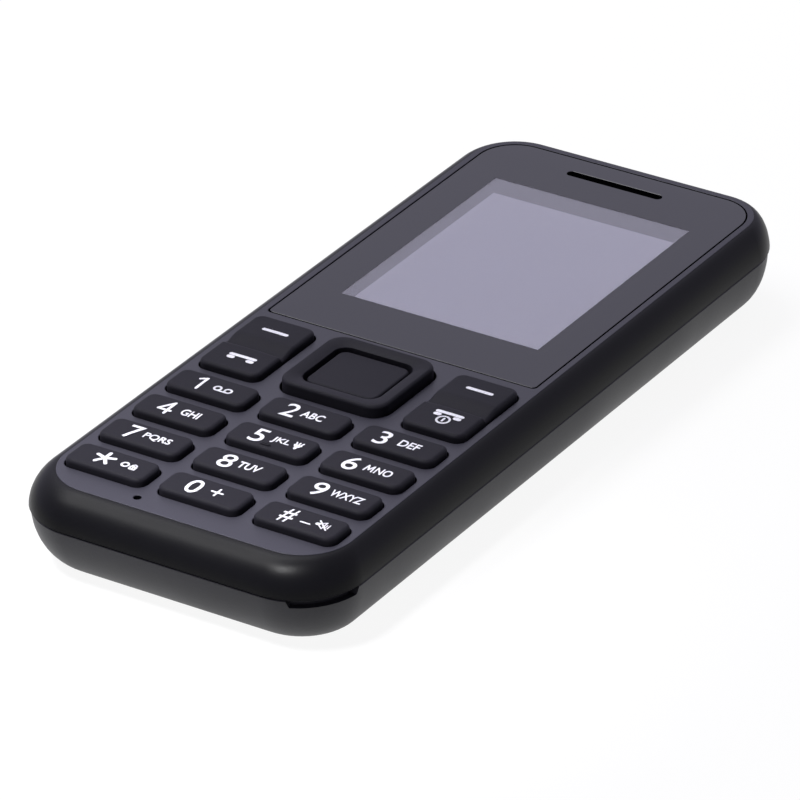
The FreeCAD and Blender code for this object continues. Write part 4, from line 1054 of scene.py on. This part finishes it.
def printed(name, key, body, size, form, marks):
    """Lays flat marks on the cap of a key as a thin film and finishes them as one piece."""
    centre = middle(key)
    points, faces = [], []
    for flat, polygons in marks:
        faces += [[index + len(points) for index in polygon] for polygon in polygons]
        points += flat
    build = bmesh.new()
    verts = [build.verts.new((x, y, 0)) for x, y in points]
    for polygon in faces:
        build.faces.new([verts[index] for index in polygon])
    # Long faces are split, so that the print follows the crown of the cap.
    for _ in range(5):
        build.normal_update()
        bmesh.ops.triangulate(build, faces=build.faces)
        long = [edge for edge in build.edges if edge.calc_length() > LONGEST_EDGE]
        bmesh.ops.subdivide_edges(build, edges=long, cuts=1)
    build.normal_update()
    bmesh.ops.triangulate(build, faces=build.faces)
    solid = bmesh.ops.extrude_face_region(build, geom=list(build.faces), use_keep_orig=True)
    lifted = {v for v in solid["geom"] if isinstance(v, bmesh.types.BMVert)}
    for vert in build.verts:
        x, y = vert.co.x, vert.co.y
        level = surface(size, form, x, y) + (INK_PROUD if vert in lifted else -INK_SUNK)
        vert.co = (centre[0] + x, centre[1] + y, level)
    mesh = bpy.data.meshes.new(name)
    build.to_mesh(mesh)
    build.free()
    return finished(name, mesh, body, [ink_white], weighted=False)


print("ink film helpers ready")

# %% [markdown]
# ## Legends of the number keys
# Digits and words share two heights, and each has its own left and right side. Every place is in
# millimetres from the middle of the key.

# %% Number key legends
DIGIT, WORD = (-1.6, 1.38, 0.004), (-0.82, 0.62, 0.018)      # low, high and added weight
words = {
    "key_1": [],
    "key_2": [("2", -2.88, -0.96), ("ABC", -0.35, 2.62)],
    "key_3": [("3", -3.1, -1.37), ("DEF", 0.09, 2.86)],
    "key_4": [("GHI", 0.42, 2.92)],
    "key_5": [("5", -2.77, -0.92), ("JKL", 0.0, 2.42)],
    "key_6": [("6", -3.1, -1.1), ("NO", 1.22, 3.43)],
    "key_7": [("7", -2.7, -0.78), ("PQRS", -0.24, 3.53)],
    "key_8": [("8", -2.65, -0.65), ("TUV", -0.08, 2.92)],
    "key_9": [("9", -2.99, -1.07), ("WXYZ", -0.42, 3.93)],
    "key_star": [],
    "key_0": [("0", -2.52, -0.6)],
    "key_hash": [("#", -2.65, -0.85)],
}
signs = {
    # The font's 1 has no flag and its 4 and M close up when small, so these are drawn.
    "key_1": [stroke([(-2.2, 0.72), (-1.42, 1.2), (-1.42, -1.42)], 0.38),
              stroke(arc(0.89, -0.2, 0.44), 0.27), stroke(arc(2.37, -0.2, 0.44), 0.27),
              stroke([(0.89, -0.64), (2.37, -0.64)], 0.25)],
    "key_4": [stroke([(-1.3, 1.2), (-2.56, -0.72), (-0.84, -0.72)], 0.36),
              stroke([(-1.3, 1.2), (-1.3, -1.42)], 0.38)],
    "key_6": [stroke([(-0.12, -0.71), (0.02, 0.5), (0.4, -0.45), (0.78, 0.5), (0.92, -0.71)], 0.22)],
    # A torch: three rays, a bowl and a grip.
    "key_5": [stroke([(2.98, 0.76), (3.1, 0.45)], 0.2), stroke([(3.45, 0.76), (3.45, 0.45)], 0.2),
              stroke([(3.92, 0.76), (3.8, 0.45)], 0.2), stroke([(3.05, 0.16), (3.85, 0.16)], 0.34),
              stroke([(3.2, -0.1), (3.7, -0.1)], 0.34), stroke([(3.45, -0.1), (3.45, -0.58)], 0.4)],
    "key_star": [stroke([(-1.05, 0.0), arc(-1.05, 0.0, 1.28, angle)[0]], 0.45)
                 for angle in (90, 18, -54, -126, 162)]
                # A ring and a padlock.
                + [stroke(arc(1.85, -0.05, 0.44), 0.26), stroke(arc(3.05, 0.14, 0.3, 0, 180, 10), 0.2),
                   stroke([(2.7, 0.02), (3.4, 0.02), (3.4, -0.62), (2.7, -0.62)], 0.24, True),
                   stroke([(3.05, -0.2), (3.05, -0.4)], 0.22)],
    "key_0": [stroke([(0.83, 0.0), (2.29, 0.0)], 0.27), stroke([(1.56, -0.75), (1.56, 0.77)], 0.27)],
    # A space bar and a loudspeaker that is struck out.
    "key_hash": [stroke([(0.25, -0.58), (1.45, -0.58)], 0.22), stroke([(2.2, 0.0), (2.35, 0.0)], 0.5),
                 stroke([(2.5, -0.2), (3.15, -0.72), (3.15, 0.72), (2.5, 0.2)], 0.16),
                 stroke([(2.15, 0.75), (3.75, -0.75)], 0.2), stroke([(3.45, -0.25), (3.45, 0.25)], 0.14),
                 stroke([(3.75, -0.4), (3.75, 0.4)], 0.14)],
}
for name in number_keys:
    marks = []
    for text, left, right in words[name]:
        low, high, weight = DIGIT if len(text) == 1 else WORD
        marks.append(letters(text, (left, right, low, high), weight))
    printed(name + "_legend", name, name, KEY_CAP, NUMBER, marks + signs.get(name, []))

# %% [markdown]
# ## Legends of the rockers
# Each rocker carries two signs, one above its hollow and one below: a bar for the soft key, and a handset
# for taking or ending a call, which on the right has the power sign under it.


# %% Rocker legends
def handset(x, y):
    """A handset seen from the side: a flat grip with the ear and mouth pieces under its ends."""
    return [stroke([(x - 1.7, y), (x + 1.7, y)], 0.52),
            stroke([(x - 1.6, y - 0.66), (x - 1.12, y - 0.66)], 0.62),
            stroke([(x + 1.12, y - 0.66), (x + 1.6, y - 0.66)], 0.62)]


marks = [stroke([(-1.4, 3.6), (1.8, 3.6)], 0.56)] + handset(0.3, -3.5)
printed("left_rocker_legend", "left_rocker_key", "left_rocker", ROCKER_CAP, ROCKER, marks)
marks = [stroke([(-1.3, 3.9), (1.93, 3.9)], 0.56)] + handset(0.3, -2.62)
marks += [stroke(arc(0.29, -4.21, 0.8, 100, 440, 20), 0.27), stroke([(0.29, -3.9), (0.29, -4.5)], 0.27)]
printed("right_rocker_legend", "right_rocker_key", "right_rocker", ROCKER_CAP, ROCKER, marks)

# %% [markdown]
# ## Small things that repeat
# Each tree takes points and puts the same small part on every one: a screw with a cross recess, a snap
# dome, a gold contact. A tree is worth its trouble here, because one shape is made once and the points say
# where it goes.

# %% Screw, dome and contact trees
def part_tree(name, floats):
    """New tree with points in and geometry out, and these inputs."""
    tree = bpy.data.node_groups.new(name, "GeometryNodeTree")
    tree.is_modifier = True
    tree.interface.new_socket(name="Geometry", in_out="INPUT", socket_type="NodeSocketGeometry")
    for item in floats:
        tree.interface.new_socket(name=item, in_out="INPUT", socket_type="NodeSocketFloat")
    tree.interface.new_socket(name="Material", in_out="INPUT", socket_type="NodeSocketMaterial")
    tree.interface.new_socket(name="Geometry", in_out="OUTPUT", socket_type="NodeSocketGeometry")
    return tree, node(tree, "NodeGroupInput").outputs


def placed(tree, put, part):
    """Puts the part on every point and ends the tree."""
    many = node(tree, "GeometryNodeInstanceOnPoints", {"Points": put["Geometry"], "Instance": part})
    real = node(tree, "GeometryNodeRealizeInstances", {0: many})
    real = node(tree, "GeometryNodeSetMaterial", {"Geometry": real, "Material": put["Material"]})
    node(tree, "NodeGroupOutput", {0: real})
    return tree


tree, put = part_tree("cross_head_screw", ("Radius", "Height", "Slot"))
head = node(tree, "GeometryNodeMeshCylinder", {"Vertices": 36, "Radius": put["Radius"],
                                               "Depth": put["Height"]})
down = node(tree, "ShaderNodeMath", {0: put["Height"], 1: -0.5}, operation="MULTIPLY")
long = node(tree, "ShaderNodeCombineXYZ", {0: put["Radius"], 1: put["Slot"], 2: put["Height"]})
wide = node(tree, "ShaderNodeCombineXYZ", {0: put["Slot"], 1: put["Radius"], 2: put["Height"]})
sunk = node(tree, "ShaderNodeCombineXYZ", {2: down})
recess = node(tree, "GeometryNodeMeshBoolean", {0: head}, operation="DIFFERENCE")
for size in (long, wide):
    bar = node(tree, "GeometryNodeMeshCube", {"Size": size})
    bar = node(tree, "GeometryNodeTransform", {"Geometry": bar, "Translation": sunk})
    tree.links.new(bar.outputs[0], recess.inputs[1])
screws = placed(tree, put, recess)

tree, put = part_tree("snap_dome", ("Radius", "Rise"))
narrow = node(tree, "ShaderNodeMath", {0: put["Radius"], 1: 0.62}, operation="MULTIPLY")
cone = node(tree, "GeometryNodeMeshCone", {"Vertices": 32, "Radius Top": narrow,
                                           "Radius Bottom": put["Radius"], "Depth": put["Rise"]})
domes = placed(tree, put, cone)

tree, put = part_tree("gold_contact", ("Width", "Depth", "Height"))
size = node(tree, "ShaderNodeCombineXYZ", {0: put["Width"], 1: put["Depth"], 2: put["Height"]})
contacts = placed(tree, put, node(tree, "GeometryNodeMeshCube", {"Size": size}))
print("trees for parts that repeat:", screws.name, domes.name, contacts.name)

# %% [markdown]
# ## Dust cloth tree
# A cloth of thin threads keeps dust out of the earpiece and the loudspeaker. One tree makes the threads
# that run one way: each rises and dips with a sine as it crosses the others, and each is turned half over
# against the last one. Turned by a quarter, the same tree makes the threads that cross them.

# %% Dust cloth tree
tree, put = part_tree("woven_cloth", ("Width", "Length", "Pitch", "Thread", "Turn"))
half = node(tree, "ShaderNodeMath", {0: put["Width"], 1: 0.5}, operation="MULTIPLY")
start = node(tree, "ShaderNodeMath", {0: half, 1: -1.0}, operation="MULTIPLY")
start = node(tree, "ShaderNodeCombineXYZ", {0: start})
end = node(tree, "ShaderNodeCombineXYZ", {0: half})
line = node(tree, "GeometryNodeCurvePrimitiveLine", {"Start": start, "End": end})
steps = node(tree, "ShaderNodeMath", {0: put["Width"], 1: put["Pitch"]}, operation="DIVIDE")
steps = node(tree, "ShaderNodeMath", {0: steps, 1: 4.0}, operation="MULTIPLY")
line = node(tree, "GeometryNodeResampleCurve", {"Curve": line, "Count": steps})
along = node(tree, "ShaderNodeSeparateXYZ", {0: node(tree, "GeometryNodeInputPosition")})
wave = node(tree, "ShaderNodeMath", {0: along.outputs[0], 1: put["Pitch"]}, operation="DIVIDE")
wave = node(tree, "ShaderNodeMath", {0: wave, 1: math.pi}, operation="MULTIPLY")
wave = node(tree, "ShaderNodeMath", {0: wave}, operation="SINE")
wave = node(tree, "ShaderNodeMath", {0: wave, 1: put["Thread"]}, operation="MULTIPLY")
wave = node(tree, "ShaderNodeMath", {0: wave, 1: 0.45}, operation="MULTIPLY")
rise = node(tree, "ShaderNodeCombineXYZ", {2: wave})
line = node(tree, "GeometryNodeSetPosition", {"Geometry": line, "Offset": rise})
radius = node(tree, "ShaderNodeMath", {0: put["Thread"], 1: 0.5}, operation="MULTIPLY")
ring = node(tree, "GeometryNodeCurvePrimitiveCircle", {"Resolution": 6, "Radius": radius})
thread = node(tree, "GeometryNodeCurveToMesh", {"Curve": line, "Profile Curve": ring, "Fill Caps": True})
rows = node(tree, "ShaderNodeMath", {0: put["Length"], 1: put["Pitch"]}, operation="DIVIDE")
first = node(tree, "ShaderNodeMath", {0: put["Length"], 1: -0.5}, operation="MULTIPLY")
first = node(tree, "ShaderNodeCombineXYZ", {1: first})
pitch = node(tree, "ShaderNodeCombineXYZ", {1: put["Pitch"]})
places = node(tree, "GeometryNodeMeshLine", {"Count": rows, "Start Location": first, "Offset": pitch})
odd = node(tree, "ShaderNodeMath", {0: node(tree, "GeometryNodeInputIndex"), 1: 2.0}, operation="MODULO")
over = node(tree, "ShaderNodeMath", {0: odd, 1: math.pi}, operation="MULTIPLY")
over = node(tree, "ShaderNodeCombineXYZ", {0: over})
flip = node(tree, "FunctionNodeEulerToRotation", {0: over})
weft = node(tree, "GeometryNodeInstanceOnPoints", {"Points": places, "Instance": thread, "Rotation": flip})
turned = node(tree, "ShaderNodeCombineXYZ", {2: put["Turn"]})
turned = node(tree, "FunctionNodeEulerToRotation", {0: turned})
weft = node(tree, "GeometryNodeTransform", {"Geometry": weft, "Rotation": turned})
cloth = placed(tree, put, weft)
print("cloth tree:", len(cloth.nodes), "nodes")

# %% [markdown]
# ## Chassis, screws, domes and contacts
# The screws sink into four pillars of the chassis, which is a copy of the CAD chassis with a counterbore in
# each. A metal dome under each plunger gives the key its click, and all the domes sit on one thin sheet.
# Three gold contacts of the connector meet three pads on the battery.

# %% Chassis, screws, domes and contacts
BORE_LOW, BORE_TOP, BORE_RADIUS = 0.8, 2.1, 1.5     # floor, mouth and radius of a counterbore, mm
SHEET_LOW, SHEET_TOP, DOME_RADIUS = 7.7, 7.79, 1.5
CONTACTS, CONTACT_Z = (-2.6, 0, 2.6), 3.1           # places across and level of the battery contacts


def repeated(tree, name, body, material, points, sizes, replaces=(), sharp=32, extra=()):
    """Puts a small part on each point, in mm, and finishes them as one piece."""
    values = {key: value * MM for key, value in sizes.items()}
    mesh = grown(tree, {**values, "Material": material}, [tuple(v * MM for v in point) for point in points])
    if extra:
        mesh = add_blocks(mesh, list(extra))
    return finished(name, mesh, body, [material], replaces, sharp, scale=1, weighted=False)


pillars = [(side * x, y) for side in (-1, 1) for x, y in ((14.4, -48.6), (16.4, 46.8))]
chassis = copied("mid_frame")
chassis.transform(Matrix.Scale(1 / MM, 4))
bores = [round_hole(BORE_RADIUS, y, BORE_LOW, BORE_TOP, 10, x) for x, y in pillars]
chassis = combined(chassis, merged(bores), "DIFFERENCE")
finished("chassis", chassis, "phone", [chassis_plastic], ["mid_frame"], weighted=False)
repeated(screws, "chassis_screws", "phone", black_steel, [(x, y, 1.8) for x, y in pillars],
         {"Radius": 1.3, "Height": 0.6, "Slot": 0.32})

low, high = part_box("nav_pad")
nav_x, nav_y, _ = middle("nav_ring")
pad_x, pad_y = (high.x - low.x) / 2 / MM - DOME_RADIUS, (high.y - low.y) / 2 / MM - DOME_RADIUS
spots = [middle(name)[:2] for name in number_keys]
spots += [(middle(name)[0], middle(name)[1] + end) for name in rockers for end in ROCKER_ENDS]
spots += [(nav_x + pad_x * across, nav_y + pad_y * along)
          for across, along in ((0, 0), (-1, 0), (1, 0), (0, -1), (0, 1))]
sheet_low, sheet_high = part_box("dome_sheet")
sheet = prism((sheet_high.x - sheet_low.x) / MM, (sheet_high.y - sheet_low.y) / MM, SHEET_LOW, SHEET_TOP,
              0, (sheet_high.y + sheet_low.y) / 2 / MM, 0.8, 5)
repeated(domes, "snap_domes", "phone", plated_steel, [(x, y, SHEET_TOP) for x, y in spots],
         {"Radius": DOME_RADIUS, "Rise": 0.25}, ["dome_sheet"], 25, [sheet])
repeated(contacts, "battery_pads", "battery", gold_plate,
         [(x, 23.95, CONTACT_Z) for x in CONTACTS], {"Width": 1.5, "Depth": 0.13, "Height": 2.2})
repeated(contacts, "connector_contacts", "phone", gold_plate,
         [(x, 24.12, CONTACT_Z) for x in CONTACTS], {"Width": 1.02, "Depth": 0.16, "Height": 2.02})

# %% [markdown]
# ## Dust cloths
# One cloth lies behind the earpiece slot and one behind the loudspeaker's slots in the cover. The real
# threads are finer than these, which are as thick as it takes to see the weave.

# %% Dust cloths
for name, body, spot, width, length, pitch, thread, swap in (
        ("earpiece_cloth", "phone", (0, EAR_Y, 10.45), 14.9, 2.3, 0.2, 0.05, ["earpiece_mesh"]),
        ("speaker_cloth", "back_cover", (*SPEAKER, 1.12), 8.0, 9.4, 0.28, 0.07, [])):
    threads = []
    for across, down, turn in ((width, length, 0.0), (length, width, math.pi / 2)):
        values = {"Width": across * MM, "Length": down * MM, "Pitch": pitch * MM, "Thread": thread * MM,
                  "Turn": turn, "Material": foam}
        threads.append(grown(cloth, values, [tuple(v * MM for v in spot)]))
    finished(name, merged(threads), body, [foam], swap, 60, scale=1, weighted=False)

# %% [markdown]
# ## Battery
# A flat pack in a printed polyester wrap, with a moulded cap on each end. Its edges are rounded, as in a
# real pack, by a quarter circle below and one above. The faces are split where the wrap ends, so that one
# mesh has both finishes.

# %% Battery
PACK_Z, PACK_FLAT, PACK_EDGE, PACK_CORNER = 3.1, 1.4, 0.5, 1.5   # middle, half the flat side, and radii, mm
WRAP_LOW, WRAP_HIGH = -20.4, 22.4                                # where the wrap ends along Y
# The wrap is a smooth grey film, wavy and a little glossy.
wrap = moulded_plastic("polyester_battery_wrap", "45464c", grain=0.8, depth=0.002, roughness=0.32)
rings = []
for angle in range(-90, 91, 30):
    inset = PACK_EDGE * (1 - math.cos(math.radians(angle)))
    edge = math.copysign(PACK_FLAT, angle) + PACK_EDGE * math.sin(math.radians(angle)) if angle else 0
    rings.append(outline(17.3 - inset, -22 + inset, 24 - inset, PACK_CORNER - inset, PACK_CORNER - inset,
                         PACK_Z + edge, 6))
pack = divided(loft(rings), [(1, WRAP_LOW), (1, WRAP_HIGH)])
pack = finished("battery_pack", pack, "battery", [wrap, dark_plastic], ["battery"])
for face in pack.data.polygons:
    face.material_index = int(not WRAP_LOW < face.center.y / MM < WRAP_HIGH)

# %% [markdown]
# ## Inner parts
# The CAD nodes that are left have the right shape already. They keep it and get the finish of the real
# part: metal cans and sockets, moulded connectors, rubber, film and the green board.

# %% Finishes of the CAD nodes
finishes = {
    "lcd_frame": white_plastic, "lens_tape": foam, "screen_gasket": foam,
    "display_flex": amber_film, "nav_pad": silicone, "keypad_mat": silicone,
    "main_board": laminate, "power_shield_can": tinned_steel, "radio_shield_can": tinned_steel,
    "sim_holder": plated_steel, "battery_connector": dark_plastic, "audio_jack": dark_plastic,
    "micro_usb_socket": plated_steel, "camera_module": dark_plastic, "loudspeaker": dark_plastic,
    "earpiece_receiver": dark_plastic, "microphone": plated_steel, "microphone_boot": silicone,
    "vibration_motor": plated_steel, "antenna_carrier": chassis_plastic,
}
# The camera window is glass over a black tube, and a trace of wipe marks changes its gloss. The torch's
# lamp is set in clear resin with a yellowish tone.
glass = moulded_plastic("dark_camera_glass", "0c0c10", grain=2.5, depth=0.0002, roughness=0.07, spread=0.06,
                        tone=0.05)
resin = moulded_plastic("clear_lamp_resin", "d8d6c4", grain=0.6, depth=0.002, roughness=0.15)
finishes.update({"camera_window": glass, "torch_led": resin})
for name, material in finishes.items():
    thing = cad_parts[name]
    if not thing.material_slots:
        thing.data.materials.append(material)
    for place in thing.material_slots:
        place.material = material
print("CAD nodes finished:", len(finishes))
